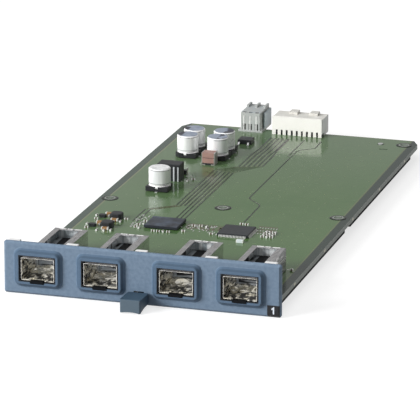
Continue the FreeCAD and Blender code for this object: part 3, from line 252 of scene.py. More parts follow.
class Finish:
    """A material under way: mottled colour, varied roughness, grain and rounded edges, recoloured in patches:
    rubbed edges on some finishes, painted highlights on others.

    Scales count features in a metre. The grain's depth and the edge's radius are millimetres.
    """

    def __init__(self, name, colour, shade, rough, metal=0.0, scale=70.0, amount=0.6, grain=3000.0,
                 depth=0.01, waves=0.5, edge=0.15, wear=0.0, worn=None):
        self.material = bpy.data.materials.new(name)
        self.material.use_nodes = True
        self.graph = graph = Graph(self.material.node_tree)
        self.shader = self.material.node_tree.nodes["Principled BSDF"]
        mottle = use_group(graph, MOTTLE, Colour=colour, Shade=shade, Scale=scale, Amount=amount)
        self.colour = mottle["Colour"]
        self.rough = graph.spread(mottle["Cloud"], 0.3, 0.7, rough * 0.85, rough * 1.2)
        self.metal = metal
        edges = use_group(graph, RUBBED_AND_LIT_EDGE, Radius=edge * MM, Wear=wear)
        if worn:
            self.colour = graph.mix(edges["Wear"], self.colour, worn)
        bump = graph.node("ShaderNodeBump")
        bump.inputs["Distance"].default_value = depth * MM
        bump.inputs["Strength"].default_value = 1.0
        graph.feed(bump.inputs["Height"], use_group(graph, GRAIN, Scale=grain, Waves=waves)["Height"])
        graph.feed(bump.inputs["Normal"], edges["Normal"])
        self.normal = bump.outputs[0]
        self.place = graph.object_place()
        self.axes = dict(zip("xyz", graph.axes(self.place)))

    def fade(self, axis, low, high):
        """From nought at one place on an axis to one at another."""
        return self.graph.spread(self.axes[axis], low * MM, high * MM)

    def band(self, axis, low, high, soft):
        """One between two places on an axis, nought outside, with soft edges; None leaves a side open."""
        sides = []
        if low is not None:
            sides.append(self.fade(axis, low - soft, low + soft))
        if high is not None:
            sides.append(self.fade(axis, high + soft, high - soft))
        return self.graph.joined("MULTIPLY", sides)

    def ports(self, half, aside=0.0):
        """One within half a width of each port's middle, or of a line aside of it."""
        middles = [port + aside for port in PORTS]
        bands = [self.band("x", middle - half, middle + half, 0.03) for middle in middles]
        return self.graph.joined("ADD", bands)

    def pattern(self, scale, detail=3.0, rough=0.55):
        return self.graph.noise(self.place, scale, detail, rough)

    def patches(self, low, high, scale, detail=3.0, rough=0.55):
        """A mask from noise that runs from nought at low to one at high."""
        return self.graph.spread(self.pattern(scale, detail, rough), low, high)

    def paint(self, masks, colour, rough=None, metal=None):
        """Another finish where the product of the masks is one."""
        mask = self.graph.joined("MULTIPLY", masks)
        self.colour = self.graph.mix(mask, self.colour, colour)
        if rough is not None:
            self.rough = self.graph.blend(mask, self.rough, rough)
        if metal is not None:
            self.metal = self.graph.blend(mask, self.metal, metal)

    def done(self, gloss=0.5):
        self.graph.feed(self.shader.inputs["Base Color"], self.colour)
        self.graph.feed(self.shader.inputs["Roughness"], self.rough)
        self.graph.feed(self.shader.inputs["Metallic"], self.metal)
        self.graph.feed(self.shader.inputs["Normal"], self.normal)
        self.shader.inputs["Specular IOR Level"].default_value = gloss
        return self.material


def grey(level):
    return (level, level, level)


# Finishes of the front and the board

def panel_plastic():
    """Blue-grey moulding: speckled face, deeper port frames, painted shade on the frames' sloped sides, round
    the edge of each port and inside it, black under the label.
    """
    finish = Finish("panel_plastic", (0.168, 0.228, 0.305), (0.124, 0.178, 0.248), 0.55, scale=650.0,
                    amount=1.0, grain=5200.0, depth=0.014, waves=0.8, edge=0.3)
    proud = finish.band("y", PANEL_FACE - 3.0, PANEL_FACE - 0.2, 0.15)
    finish.paint([proud, 0.74], (0.064, 0.108, 0.168))
    # Painted shade on the sloped sides of the port frames.
    shoulder_shade = finish.band("y", FRAME_FACE - 0.1, FRAME_FACE + 0.8, 0.1)
    finish.paint([shoulder_shade, 0.42], (0.024, 0.042, 0.066))
    # Painted shade: a near-black ring on the frame faces round the edge of each port.
    lip_shade = [
        finish.ports(8.12),
        finish.band("z", 6.08, 17.52, 0.03),
        finish.band("y", None, FRAME_FACE + 0.05, 0.03),
    ]
    finish.paint(lip_shade, (0.016, 0.019, 0.024), 0.6)
    film = [
        finish.band("x", 54.3, 59.5, 0.04),
        finish.band("z", None, 5.2, 0.04),
        finish.band("y", None, PANEL_FACE + 1.2, 0.04),
    ]
    finish.paint(film, (0.012, 0.012, 0.014), 0.42)
    # Painted shade on the walls inside the ports.
    opening_shade = [
        finish.ports(7.83),
        finish.band("z", 5.3, 17.22, 0.02),
        finish.band("y", FRAME_FACE, None, 0.1),
    ]
    finish.paint(opening_shade, (0.012, 0.014, 0.018), 0.6)
    return finish.done(gloss=0.3)


def lever_plastic():
    """Dark blue-grey, with a painted highlight on its front face."""
    finish = Finish("lever_plastic", (0.036, 0.066, 0.1), (0.05, 0.085, 0.12), 0.5, scale=500.0,
                    grain=4200.0, edge=0.3, wear=0.4, worn=(0.12, 0.16, 0.2))
    # Painted highlight: the front face paler than the rest.
    finish.paint([finish.band("y", None, LEVER_FACE, 0.15)], (0.088, 0.122, 0.153))
    return finish.done(gloss=0.25)


def bracket_metal():
    """Bright sheet, with painted shade where it closes the cut-out under each port."""
    finish = Finish("bracket_steel", grey(0.95), grey(0.88), 0.35, metal=0.15, scale=200.0)
    # Painted shade: near-black where the sheet closes the cut-out under each port.
    notch_shade = [
        finish.ports(4.2),
        finish.band("z", 3.5, BOARD_TOP + 0.9, 0.05),
        finish.band("y", None, PANEL_FACE + 5.0, 0.2),
    ]
    finish.paint(notch_shade, (0.012, 0.013, 0.014), 0.6, 1.0)
    return finish.done()


def board_laminate():
    """Green resist over a copper pour, a bare dark margin with a thin pale line, and cut laminate edges."""
    finish = Finish("board_laminate", (0.060, 0.137, 0.036), (0.080, 0.156, 0.049), 0.12, scale=28.0,
                    amount=0.9, grain=700.0, depth=0.0015, waves=2.0, edge=0.12)
    graph = finish.graph
    rows = finish.patches(0.5, 0.7, (1400.0, 30.0, 1.0), 2.0)
    finish.paint([rows, 0.18], (0.075, 0.13, 0.055))
    spots = finish.patches(0.7, 0.78, 420.0, 1.0)
    finish.paint([spots, 0.4], (0.19, 0.25, 0.13))
    # Painted sheen: the resist paler towards the rear and towards the left.
    finish.paint([finish.fade("y", 20.0, 130.0), 0.45], (0.16, 0.215, 0.145))
    finish.paint([finish.fade("x", 0.0, -60.0), 0.5], (0.155, 0.21, 0.135))

    left, right = BOARD_LEFT + MARGIN, BOARD_RIGHT - MARGIN
    rim = finish.band("x", left, right, 0.15)
    pour = graph.math(
        "MULTIPLY",
        finish.band("x", left + MARGIN_LINE, right - MARGIN_LINE, 0.12),
        finish.band("y", None, BOARD_REAR - 0.9, 0.1),
    )
    pale_line = graph.math("SUBTRACT", rim, pour, clamp=True)
    # Painted light: the bare margin and its pale line lighter towards the left.
    to_left = finish.fade("x", 10.0, -10.0)
    bare = graph.mix(to_left, (0.010, 0.026, 0.017), (0.055, 0.082, 0.064))
    finish.paint([graph.math("SUBTRACT", 1.0, rim)], bare, 0.2)
    finish.paint([pale_line, 0.8], graph.mix(to_left, (0.12, 0.15, 0.06), (0.2, 0.21, 0.12)))

    weave = finish.pattern((300.0, 300.0, 5000.0))
    cut_edge = graph.mix(weave, (0.05, 0.075, 0.055), (0.1, 0.125, 0.1))
    finish.paint([finish.band("z", None, BOARD_TOP - 0.12, 0.05), 0.9], cut_edge, 0.5)
    steps = graph.math("FRACT", graph.math("MULTIPLY", finish.axes["y"], 1 / (STUB_STEP * MM)))
    off_middle = graph.math("ABSOLUTE", graph.math("SUBTRACT", steps, 0.5))
    stubs = [graph.spread(off_middle, 0.47, 0.474), finish.band("z", BOARD_TOP - 1.6, BOARD_TOP - 0.6, 0.1)]
    finish.paint(stubs, (0.4, 0.38, 0.22), 0.35)
    finish.paint([finish.band("z", None, BOARD_TOP - 2.0, 0.05)], (0.04, 0.1, 0.03), 0.25)
    return finish.done(gloss=0.65)


# Finishes of the ports

def cage_steel():
    """Bright nickel sheet, scratched outside. Inside the ports: painted reflections in cream-gold and silver
    patches near the front, painted shade with pale streaks deeper in; painted highlights on the rear rims and
    the rubbed edges; painted shade on the last cage's right-hand wall and on the latch tabs.
    """
    # Its pale rubbed edges are painted highlights.
    finish = Finish("cage_steel", (0.80, 0.79, 0.79), (0.56, 0.55, 0.56), 0.16, metal=1.0, scale=260.0,
                    amount=0.9, grain=900.0, depth=0.02, waves=3.0, edge=0.35, wear=0.7, worn=grey(0.96))
    graph = finish.graph
    scratches = finish.pattern((2400.0, 160.0, 900.0))
    finish.paint([graph.spread(scratches, 0.5, 0.66), 0.55], (0.25, 0.24, 0.25), 0.35)

    full_height = finish.band("z", BOARD_TOP - 0.5, BOARD_TOP + 9.65, 0.05)
    inner = graph.math("MULTIPLY", finish.ports(7.15), full_height)
    # Painted reflection: cream-gold and silver patches with dark folds inside the front of each cage.
    bright = graph.mix(finish.pattern(260.0, 2.0), (0.95, 0.87, 0.66), (0.98, 0.98, 0.95))
    folds = finish.patches(0.39, 0.52, (560.0, 280.0, 700.0), rough=0.6)
    crumple_reflection = graph.mix(folds, (0.035, 0.033, 0.03), bright)
    finish.paint([inner, finish.band("y", None, PANEL_FACE + 17.0, 2.0), 0.95], crumple_reflection, 0.22, 0.4)
    # Painted shade deeper in, with pale streaks.
    stripes = finish.patches(0.44, 0.52, (60.0, 300.0, 30.0), 2.0)
    shaded_stripes = graph.mix(stripes, (0.02, 0.022, 0.025), (0.7, 0.74, 0.77))
    finish.paint([inner, finish.band("y", PANEL_FACE + 18.0, PANEL_FACE + 36.0, 1.0)], shaded_stripes, 0.4, 0.2)
    bars = finish.patches(0.44, 0.58, (520.0, 10.0, 30.0), 1.0)
    barred = graph.mix(bars, (0.38, 0.43, 0.46), (0.92, 0.95, 0.96))
    finish.paint([inner, finish.band("y", PANEL_FACE + 36.5, None, 0.5)], barred, 0.35, 0.15)

    # Painted highlights: white segments along each rear rim.
    rear_rim = [finish.band("y", PANEL_FACE + 42.3, None, 0.1), finish.band("z", BOARD_TOP + 9.3, None, 0.1)]
    lit = [
        finish.band("x", port + low, port + high, 0.1)
        for port in PORTS
        for low, high in ((-5.2, -2.2), (-1.6, 0.8), (1.8, 4.9))
    ]
    finish.paint([*rear_rim, graph.joined("ADD", lit)], grey(0.97), 0.3, 0.0)
    # Painted shade on the last cage's right-hand wall, broken by pale streaks.
    right_wall_shade = [finish.band("x", PORTS[3] + 7.2, None, 0.05), graph.spread(scratches, 0.62, 0.48), 0.85]
    finish.paint(right_wall_shade, (0.05, 0.055, 0.055), 0.35, 0.5)
    # Painted shade: the latch tabs under the ports near-black.
    latch_tab_shade = [
        finish.ports(2.95),
        finish.band("y", None, PANEL_FACE - 0.3, 0.3),
        finish.band("z", None, BOARD_TOP + 0.5, 0.02),
    ]
    finish.paint(latch_tab_shade, (0.014, 0.015, 0.017), 0.5, 1.0)
    return finish.done()


def spring_leaf_metal():
    """Silver and cream patches with painted dark reflections in folds, fewer where light comes in."""
    finish = Finish("spring_leaf", (0.98, 0.97, 0.93), (0.96, 0.89, 0.68), 0.18, metal=0.55, scale=240.0,
                    amount=1.0, edge=0.04)
    graph = finish.graph
    folds = finish.pattern((430.0, 330.0, 560.0), rough=0.6)
    # Painted light: fewer dark patches between 7.5 and 17 mm in from the panel.
    lit = finish.band("y", PANEL_FACE + 7.5, PANEL_FACE + 17.0, 1.5)
    folds = graph.math("ADD", folds, graph.blend(lit, -0.05, 0.13))
    finish.paint([graph.spread(folds, 0.56, 0.43)], (0.03, 0.029, 0.026), 0.3)
    return finish.done()


def socket_plastic():
    """Black moulding; the left of each top carries pale patches, a painted reflection of the bright wall
    beside it.
    """
    finish = Finish("socket_black", (0.010, 0.010, 0.011), (0.018, 0.018, 0.018), 0.65, scale=300.0)
    patches = finish.patches(0.38, 0.54, (380.0, 150.0, 300.0), 2.0)
    # Painted reflection: pale patches on the left of each top.
    finish.paint([finish.ports(1.6, aside=-5.2), patches, 0.8], (0.34, 0.37, 0.39))
    return finish.done(gloss=0.12)


# Finishes of the parts on the board

def can_aluminium():
    """Satin drawn cans: upright streaks, painted shade in a line under the rim and in the groove above the
    foot, and a bright foot ring.
    """
    finish = Finish("can_aluminium", grey(1.0), (0.95, 0.96, 0.97), 0.3, metal=0.22, scale=90.0,
                    amount=0.8, grain=2600.0, depth=0.002, edge=0.4)
    graph = finish.graph
    streaks = finish.pattern((420.0, 420.0, 30.0), 2.0)
    finish.paint([graph.spread(streaks, 0.45, 0.7), 0.5], (0.70, 0.72, 0.74))
    # Painted shade in the line under the rim.
    rolled_shade = finish.band("z", CAN_TOP - 0.95, CAN_TOP - 0.6, 0.12)
    finish.paint([rolled_shade, graph.spread(streaks, 0.4, 0.6, 0.2, 0.8)], (0.16, 0.15, 0.16))
    # Painted shade in the groove above the foot.
    bead_shade = finish.band("z", BOARD_TOP + 3.45, BOARD_TOP + 3.75, 0.1)
    finish.paint([bead_shade, 0.7], (0.14, 0.15, 0.16))
    foot = finish.band("z", None, BOARD_TOP + 3.35, 0.1)
    finish.paint([foot], grey(0.97), 0.35, 0.2)
    top = finish.band("z", CAN_TOP - 0.05, None, 0.02)
    finish.paint([top, finish.patches(0.55, 0.62, 600.0, 2.0), 0.35], (0.35, 0.36, 0.37))
    return finish.done()


def can_ink():
    """Printed slate blue, mottled, with a near-black crescent along one side of each top."""
    finish = Finish("can_ink", (0.21, 0.25, 0.33), (0.36, 0.40, 0.47), 0.4, scale=420.0, amount=1.0,
                    edge=0.03)
    left = finish.band("x", None, CANS[1][0] + CARD_SHIFT - 2.0, 0.4)
    right = finish.band("x", CANS[3][0] + CARD_SHIFT + 0.6, None, 0.4)
    cloud = finish.patches(0.42, 0.5, 260.0, 2.0)
    finish.paint([finish.graph.math("ADD", left, right), cloud], (0.04, 0.042, 0.055))
    return finish.done(gloss=0.4)


def chip_capacitor_ceramic():
    """Brown-orange ceramic on the left of the board, whitish blue on the right."""
    finish = Finish("ceramic_orange", (0.33, 0.19, 0.085), (0.24, 0.14, 0.07), 0.5, scale=700.0)
    finish.paint([finish.fade("x", 9.0, 10.0)], (0.70, 0.76, 0.79))
    return finish.done(gloss=0.4)


def grid_chip_epoxy():
    """Near-black moulding with a painted bluish sheen on its top."""
    finish = Finish("grid_chip_epoxy", (0.022, 0.024, 0.03), (0.032, 0.035, 0.045), 0.45, scale=500.0,
                    grain=9000.0)
    # Painted sheen: bluish patches on the top.
    top = finish.band("z", BOARD_TOP + 1.4, None, 0.05)
    finish.paint([top, finish.patches(0.4, 0.6, 120.0, 2.0), 0.8], (0.075, 0.096, 0.132))
    return finish.done(gloss=0.35)


def power_header_plastic():
    """Light grey moulding, painted shade inside its slits, bluish on its cheeks."""
    finish = Finish("power_header_plastic", (0.47, 0.485, 0.47), (0.37, 0.39, 0.39), 0.45, scale=260.0)
    graph = finish.graph
    # Painted shade inside the slits, near-black above and dark grey below.
    slits = graph.joined("ADD", [finish.band("x", way - 0.85, way + 0.85, 0.02) for way in POWER_WAYS])
    dark = graph.mix(finish.fade("z", BOARD_TOP + 4.4, BOARD_TOP + 4.6), (0.11, 0.11, 0.1), grey(0.02))
    finish.paint([slits, finish.band("y", POWER_FRONT + 0.2, POWER_FRONT + 1.7, 0.05)], dark, 0.6)
    cheek = [finish.band("x", POWER_WAYS[2] + 2.2, None, 0.05), finish.band("z", BOARD_TOP + 1.0, None, 0.2)]
    finish.paint(cheek, (0.40, 0.47, 0.50))
    top = finish.band("z", BOARD_TOP + 9.35, BOARD_TOP + 9.5, 0.02)
    finish.paint([top, finish.patches(0.48, 0.6, 700.0, 2.0), 0.6], (0.36, 0.42, 0.46))
    return finish.done(gloss=0.4)


def signal_header_plastic():
    """Near-white moulding, yellower on top, with painted shade in its slits, greyer on its right side partly
    as painted shade, and a painted shadow low on that side at the front.
    """
    finish = Finish("signal_header_plastic", (0.95, 0.93, 0.89), (0.88, 0.86, 0.81), 0.45, scale=160.0)
    graph = finish.graph
    top = [finish.band("z", BOARD_TOP + 8.3, None, 0.1), finish.band("y", SIGNAL_FRONT + 1.1, None, 0.1), 0.8]
    finish.paint(top, graph.mix(finish.pattern(300.0), (0.42, 0.41, 0.37), (0.86, 0.85, 0.80)))
    # Painted shade inside the slits.
    slits = [
        finish.band("x", SIGNAL_LEFT, SIGNAL_RIGHT - 0.8, 0.1),
        finish.band("z", None, BOARD_TOP + 2.45, 0.05),
        finish.band("y", SIGNAL_FRONT + 0.1, SIGNAL_FRONT + 1.9, 0.05),
    ]
    finish.paint(slits, (0.02, 0.022, 0.02), 0.6)
    # Greyer, streaked right side: partly painted shade.
    right_end = finish.band("x", SIGNAL_RIGHT - 0.1, None, 0.05)
    stripe = graph.mix(finish.pattern((10.0, 500.0, 60.0), 2.0), (0.52, 0.52, 0.48), (0.88, 0.90, 0.94))
    finish.paint([right_end, 0.8], stripe)
    # Painted shadow low on the right side near the front.
    low = [finish.band("z", None, BOARD_TOP + 1.5, 0.2), finish.band("y", None, SIGNAL_FRONT + 4.6, 0.3)]
    finish.paint([right_end, *low], (0.05, 0.06, 0.05))
    return finish.done(gloss=0.4)


# Plain finishes

def plain_finish(name, colour, shade, rough, gloss=0.5, **settings):
    return Finish(name, colour, shade, rough, **settings).done(gloss)


SLOT_FINISHES = {
    "panel_plastic": panel_plastic(),
    "lever_plastic": lever_plastic(),
    "board_laminate": board_laminate(),
    "can_aluminium": can_aluminium(),
    "cage_steel": cage_steel(),
    "bracket_steel": bracket_metal(),
    "socket_black": socket_plastic(),
    "label_black": plain_finish("label_black", (0.012, 0.012, 0.014), (0.02, 0.02, 0.022), 0.45, gloss=0.3),
    "fastener_steel": plain_finish("fastener_steel", (0.48, 0.51, 0.47), (0.3, 0.34, 0.3), 0.28, metal=1.0,
                                   scale=600.0),
    "spring_steel": plain_finish("spring_steel", grey(0.55), grey(0.42), 0.3, metal=1.0, edge=0.04),
    "cover_black": plain_finish("cover_black", (0.006, 0.006, 0.007), (0.011, 0.011, 0.012), 0.7, gloss=0.05,
                                scale=120.0, wear=0.15, worn=grey(0.06)),
    "contact_gold": plain_finish("contact_gold", (0.83, 0.62, 0.28), (0.7, 0.5, 0.22), 0.22, metal=1.0,
                                 edge=0.03),
    "base_black": plain_finish("base_black", (0.02, 0.021, 0.023), (0.035, 0.036, 0.04), 0.45, gloss=0.35,
                               scale=300.0),
    "part_black": plain_finish("part_black", (0.02, 0.021, 0.024), (0.034, 0.036, 0.04), 0.42, gloss=0.4,
                               scale=300.0, wear=0.35, worn=(0.12, 0.12, 0.13)),
    "chip_ceramic": plain_finish("chip_ceramic", (0.11, 0.085, 0.06), (0.05, 0.045, 0.035), 0.5, scale=900.0),
    "chip_epoxy": plain_finish("chip_epoxy", (0.024, 0.026, 0.03), (0.036, 0.04, 0.045), 0.45, gloss=0.4,
                               scale=500.0, grain=9000.0),
    "tin": plain_finish("tin", (0.86, 0.87, 0.87), (0.62, 0.63, 0.64), 0.26, metal=0.75, scale=900.0,
                        edge=0.05),
    "ceramic_brown": plain_finish("ceramic_brown", (0.36, 0.22, 0.19), (0.27, 0.16, 0.14), 0.55, scale=500.0,
                                  wear=0.5, worn=(0.5, 0.38, 0.34)),
}
NODE_FINISHES = {
    "grid_chip": grid_chip_epoxy(),
    "chip_capacitors": chip_capacitor_ceramic(),
    "power_header": power_header_plastic(),
    "signal_header": signal_header_plastic(),
    "signal_pins": plain_finish("signal_pin_dark", (0.2, 0.2, 0.19), grey(0.1), 0.3, metal=0.5, scale=900.0),
    "chip_ends": plain_finish("chip_end_tin", (0.95, 0.95, 0.94), (0.62, 0.63, 0.62), 0.3, metal=0.2,
                              scale=1500.0, edge=0.05),
    "inductor_strips": plain_finish("strip_tin", (0.85, 0.88, 0.92), (0.6, 0.63, 0.66), 0.2, metal=0.3,
                                    scale=600.0, edge=0.05),
    # Painted reflection: the nuts' steel darkened and tinted green.
    "press_nuts": plain_finish("press_nut_steel", (0.24, 0.28, 0.23), (0.15, 0.18, 0.15), 0.3, metal=0.9,
                               scale=900.0),
    "power_blades": plain_finish("blade_tin", (0.97, 0.97, 0.96), (0.85, 0.85, 0.84), 0.3, metal=0.1,
                                 scale=900.0, edge=0.03),
    "flat_chip_leads": plain_finish("lead_tin", (0.84, 0.84, 0.82), (0.55, 0.55, 0.53), 0.3, metal=0.35,
                                    scale=1500.0, edge=0.03),
    "stack_frames": plain_finish("stack_frame_tin", (0.6, 0.58, 0.56), (0.4, 0.38, 0.37), 0.4, metal=0.6,
                                 scale=900.0, edge=0.05),
}
DARK_TRACE_AND_SHADE = plain_finish("trace_dark_and_shade", (0.012, 0.015, 0.014), (0.024, 0.028, 0.025), 0.16, scale=200.0,
                          edge=0.01)
TRACE_BROWN = plain_finish("trace_brown", (0.10, 0.09, 0.05), (0.13, 0.12, 0.07), 0.16, scale=300.0,
                           edge=0.01)
STRIP_PALE = plain_finish("strip_pale", (0.14, 0.18, 0.1), (0.2, 0.23, 0.14), 0.16, scale=300.0, edge=0.01)
VIA_PALE = plain_finish("via_pale", (0.17, 0.2, 0.1), (0.26, 0.25, 0.14), 0.3, scale=900.0, edge=0.01)
SOLDER_AND_HIGHLIGHT = plain_finish("pad_solder_and_highlight", (0.75, 0.76, 0.74), (0.5, 0.52, 0.5), 0.3, metal=0.6, scale=1500.0,
                          edge=0.02)
NUMERAL_WHITE = plain_finish("numeral_white", (0.75, 0.8, 0.86), (0.62, 0.68, 0.75), 0.5, scale=900.0,
                             edge=0.01)
SPRING_LEAF = spring_leaf_metal()
CAN_INK = can_ink()

for subpart in frame["record"]["subparts"]:
    node, slot = subpart["node"], subpart["material_slot"]
    target = frame["nodes"][node]
    target.data.materials.clear()
    target.data.materials.append(NODE_FINISHES[node] if node in NODE_FINISHES else SLOT_FINISHES[slot])


# Geometry trees for what repeats or follows a path

class Tree:
    """A geometry node tree with named inputs; it ends in Realize Instances and Set Material."""

    def __init__(self, name, inputs):
        self.tree = bpy.data.node_groups.new(name, "GeometryNodeTree")
        face = self.tree.interface
        face.new_socket(name="Geometry", in_out="INPUT", socket_type="NodeSocketGeometry")
        for label, kind, value in inputs:
            socket = face.new_socket(name=label, in_out="INPUT", socket_type=kind)
            socket.default_value = value
        face.new_socket(name="Material", in_out="INPUT", socket_type="NodeSocketMaterial")
        face.new_socket(name="Geometry", in_out="OUTPUT", socket_type="NodeSocketGeometry")
        self.given = self.tree.nodes.new("NodeGroupInput").outputs

    def add(self, kind, feeds, **settings):
        """The first output of a new node, whose inputs are linked or set."""
        item = self.tree.nodes.new(kind)
        for name, value in settings.items():
            setattr(item, name, value)
        for name, value in feeds.items():
            if isinstance(value, bpy.types.NodeSocket):
                self.tree.links.new(value, item.inputs[name])
            else:
                item.inputs[name].default_value = value
        return item.outputs[0]

    def rectangle(self, width, height):
        return self.add("GeometryNodeCurvePrimitiveQuadrilateral", {"Width": width, "Height": height})

    def swept(self, path, profile, capped=False):
        """The profile along a path, kept level."""
        level = self.add("GeometryNodeSetCurveNormal", {"Curve": path}, mode="Z_UP")
        feeds = {"Curve": level, "Profile Curve": profile, "Fill Caps": capped}
        return self.add("GeometryNodeCurveToMesh", feeds)

    def on_points(self, shape):
        feeds = {"Points": self.given["Geometry"], "Instance": shape}
        return self.finish(self.add("GeometryNodeInstanceOnPoints", feeds))

    def finish(self, geometry):
        real = self.add("GeometryNodeRealizeInstances", {"Geometry": geometry})
        dress = self.add("GeometryNodeSetMaterial", {"Geometry": real, "Material": self.given["Material"]})
        self.tree.links.new(dress, self.tree.nodes.new("NodeGroupOutput").inputs["Geometry"])
        return self.tree


def lengths(**sizes):
    """Inputs of a tree that are lengths, with their usual sizes in millimetres."""
    return [(label, FLOAT, size * MM) for label, size in sizes.items()]


def build_strips():
    """A flat strip along each curve."""
    tree = Tree("strips_along_paths", lengths(Width=0.3, Height=0.03))
    profile = tree.rectangle(tree.given["Width"], tree.given["Height"])
    return tree.finish(tree.swept(tree.given["Geometry"], profile, capped=True))


def build_discs():
    """A low disc on each point."""
    tree = Tree("discs_on_points", lengths(Radius=0.4, Height=0.03) + [("Sides", "NodeSocketInt", 12)])
    feeds = {"Vertices": tree.given["Sides"], "Radius": tree.given["Radius"], "Depth": tree.given["Height"]}
    return tree.on_points(tree.add("GeometryNodeMeshCylinder", feeds))


def build_rings():
    """A flat ring on each point."""
    tree = Tree("rings_on_points", lengths(Radius=4.0, Band=0.6, Height=0.03))
    circle = tree.add("GeometryNodeCurvePrimitiveCircle", {"Resolution": 40, "Radius": tree.given["Radius"]})
    profile = tree.rectangle(tree.given["Band"], tree.given["Height"])
    return tree.on_points(tree.swept(circle, profile))


def build_plates():
    """A low plate with cut corners on each point."""
    tree = Tree("plates_on_points", lengths(Width=1.0, Depth=1.0, Height=0.05, Corner=0.1))
    outline = tree.rectangle(tree.given["Width"], tree.given["Depth"])
    cut = tree.add("GeometryNodeFilletCurve", {"Curve": outline, "Radius": tree.given["Corner"]})
    sheet = tree.add("GeometryNodeFillCurve", {"Curve": cut})
    solid = tree.add("GeometryNodeExtrudeMesh", {"Mesh": sheet, "Offset Scale": tree.given["Height"]})
    flip = tree.add("GeometryNodeFlipFaces", {"Mesh": sheet})
    whole = tree.tree.nodes.new("GeometryNodeJoinGeometry")
    tree.tree.links.new(solid, whole.inputs[0])
    tree.tree.links.new(flip, whole.inputs[0])
    weld = tree.add("GeometryNodeMergeByDistance", {"Geometry": whole.outputs[0], "Distance": 0.000001})
    return tree.on_points(weld)


STRIPS, DISCS, RINGS, PLATES = build_strips(), build_discs(), build_rings(), build_plates()


def seat(piece, body):
    """Put a finished mesh piece in the scene, riding on its body."""
    bpy.context.scene.collection.objects.link(piece)
    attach(piece, body)
    return piece


def grown(name, source, tree, material, slot, **sizes):
    """The tree's result on the source, made a plain mesh on the card; sizes are millimetres or counts."""
    carrier = bpy.data.objects.new(name + "_source", source)
    bpy.context.scene.collection.objects.link(carrier)
    modifier = carrier.modifiers.new("tree", "NODES")
    modifier.node_group = tree
    values = {label: size * MM if isinstance(size, float) else size for label, size in sizes.items()}
    values["Material"] = material
    for item in tree.interface.items_tree:
        if item.item_type == "SOCKET" and item.in_out == "INPUT" and item.name in values:
            modifier[item.identifier] = values[item.name]
    bpy.context.view_layer.update()
    graph = bpy.context.evaluated_depsgraph_get()
    mesh = bpy.data.meshes.new_from_object(carrier.evaluated_get(graph))
    carrier.modifiers.remove(modifier)
    bpy.data.objects.remove(carrier)
    mesh.name = name
    seat(bpy.data.objects.new(name, mesh), "card")


def on_points(name, spots, tree, material, slot, **sizes):
    mesh = bpy.data.meshes.new(name)
    mesh.from_pydata([tuple(spot) for spot in spots], [], [])
    grown(name, mesh, tree, material, slot, **sizes)


def on_paths(name, paths, material, **sizes):
    curve = bpy.data.curves.new(name, "CURVE")
    curve.dimensions = "3D"
    for path in paths:
        spline = curve.splines.new("POLY")
        spline.points.add(len(path) - 1)
        for point, spot in zip(spline.points, path):
            point.co = (*spot, 1.0)
    grown(name, curve, STRIPS, material, "board_laminate", **sizes)


def solid_piece(name, build, material, body, smooth=False):
    """A mesh made by build(bmesh), with its faces turned outwards."""
    work = bmesh.new()
    build(work)
    bmesh.ops.remove_doubles(work, verts=work.verts, dist=1e-7)
    bmesh.ops.recalc_face_normals(work, faces=work.faces)
    mesh = bpy.data.meshes.new(name)
    work.to_mesh(mesh)
    work.free()
    for face in mesh.polygons:
        face.use_smooth = smooth
    mesh.materials.append(material)
    seat(bpy.data.objects.new(name, mesh), body)


def prism(work, outline, low, high, place):
    """A straight solid over an outline of (a, b) pairs; place(a, b, height) gives millimetres."""
    floor = [work.verts.new(place(a, b, low) * MM) for a, b in outline]
    roof = [work.verts.new(place(a, b, high) * MM) for a, b in outline]
    count = len(outline)
    work.faces.new(floor)
    work.faces.new(roof)
    for i in range(count):
        j = (i + 1) % count
        work.faces.new((floor[i], floor[j], roof[j], roof[i]))


# Copper gaps, vias and rings on the board

SKIN = BOARD_TOP + 0.012
NUT_SKIN = SKIN + 0.2
GAP_END, GAP_BEND, GAP_MEET = 243.5, 222.0, 212.0
CROSSING_REAR, REAR_SLANT = 190.5, 0.35
CROSSING_FRONT, FRONT_SLANT = 181.0, 0.1
STRIP_ASIDE = 1.05


def board_path(*spots):
    """A path on the board through (across the whole card, back from the panel's face) pairs."""
    return [Vector((x, y + PANEL_FACE, SKIN)) * MM for x, y in spots]


# Each gap runs from the rear header to a crossing, and goes on from there to the grid chip.
rear_lines = [(-12.8, -12.0), (-10.7, -9.9), (-8.5, -8.0), (-6.3, -5.9), (-4.3, -3.8), (-2.3, -3.1)]
front_lines = [-22.0, -20.0, -18.2, -16.2, -14.3, -12.3]
gaps, crossings, strips = [], [], []
for (low, high), front in zip(rear_lines, front_lines):
    end = CROSSING_REAR + (low - rear_lines[0][0]) * REAR_SLANT
    gaps.append(board_path((high, GAP_END), (high, GAP_BEND), (low, GAP_MEET), (low, end)))
    turn = CROSSING_FRONT - (front - front_lines[0]) * FRONT_SLANT
    gaps.append(board_path((front, turn), (front, 122.0) if front < -18.0 else (front, 101.5)))
    crossings.append(board_path((low, end), (front, turn)))
    crossings.append(board_path((low - 1.0, end - 1.4), (front + 1.0, turn + 1.4)))
    if low < rear_lines[-1][0]:
        beside_high, beside_low = high + STRIP_ASIDE, low + STRIP_ASIDE
        strips.append(board_path(
            (beside_high, GAP_END), (beside_high, GAP_BEND), (beside_low, GAP_MEET), (beside_low, end - 0.8)
        ))
        strips.append(board_path((front + 1.0, turn), (front + 1.0, 123.0)))
for front, land in ((-22.0, -33.4), (-20.0, -31.2)):
    crossings.append(board_path((front, 122.0), (front - 1.0, 120.6), (land + 1.0, 113.4), (land, 112.0)))
    crossings.append(board_path((front + 0.6, 121.4), (land + 2.0, 113.0)))
    gaps.append(board_path((land, 112.4), (land, 93.0)))
gaps.append(board_path((4.4, GAP_END), (4.4, 214.0)))
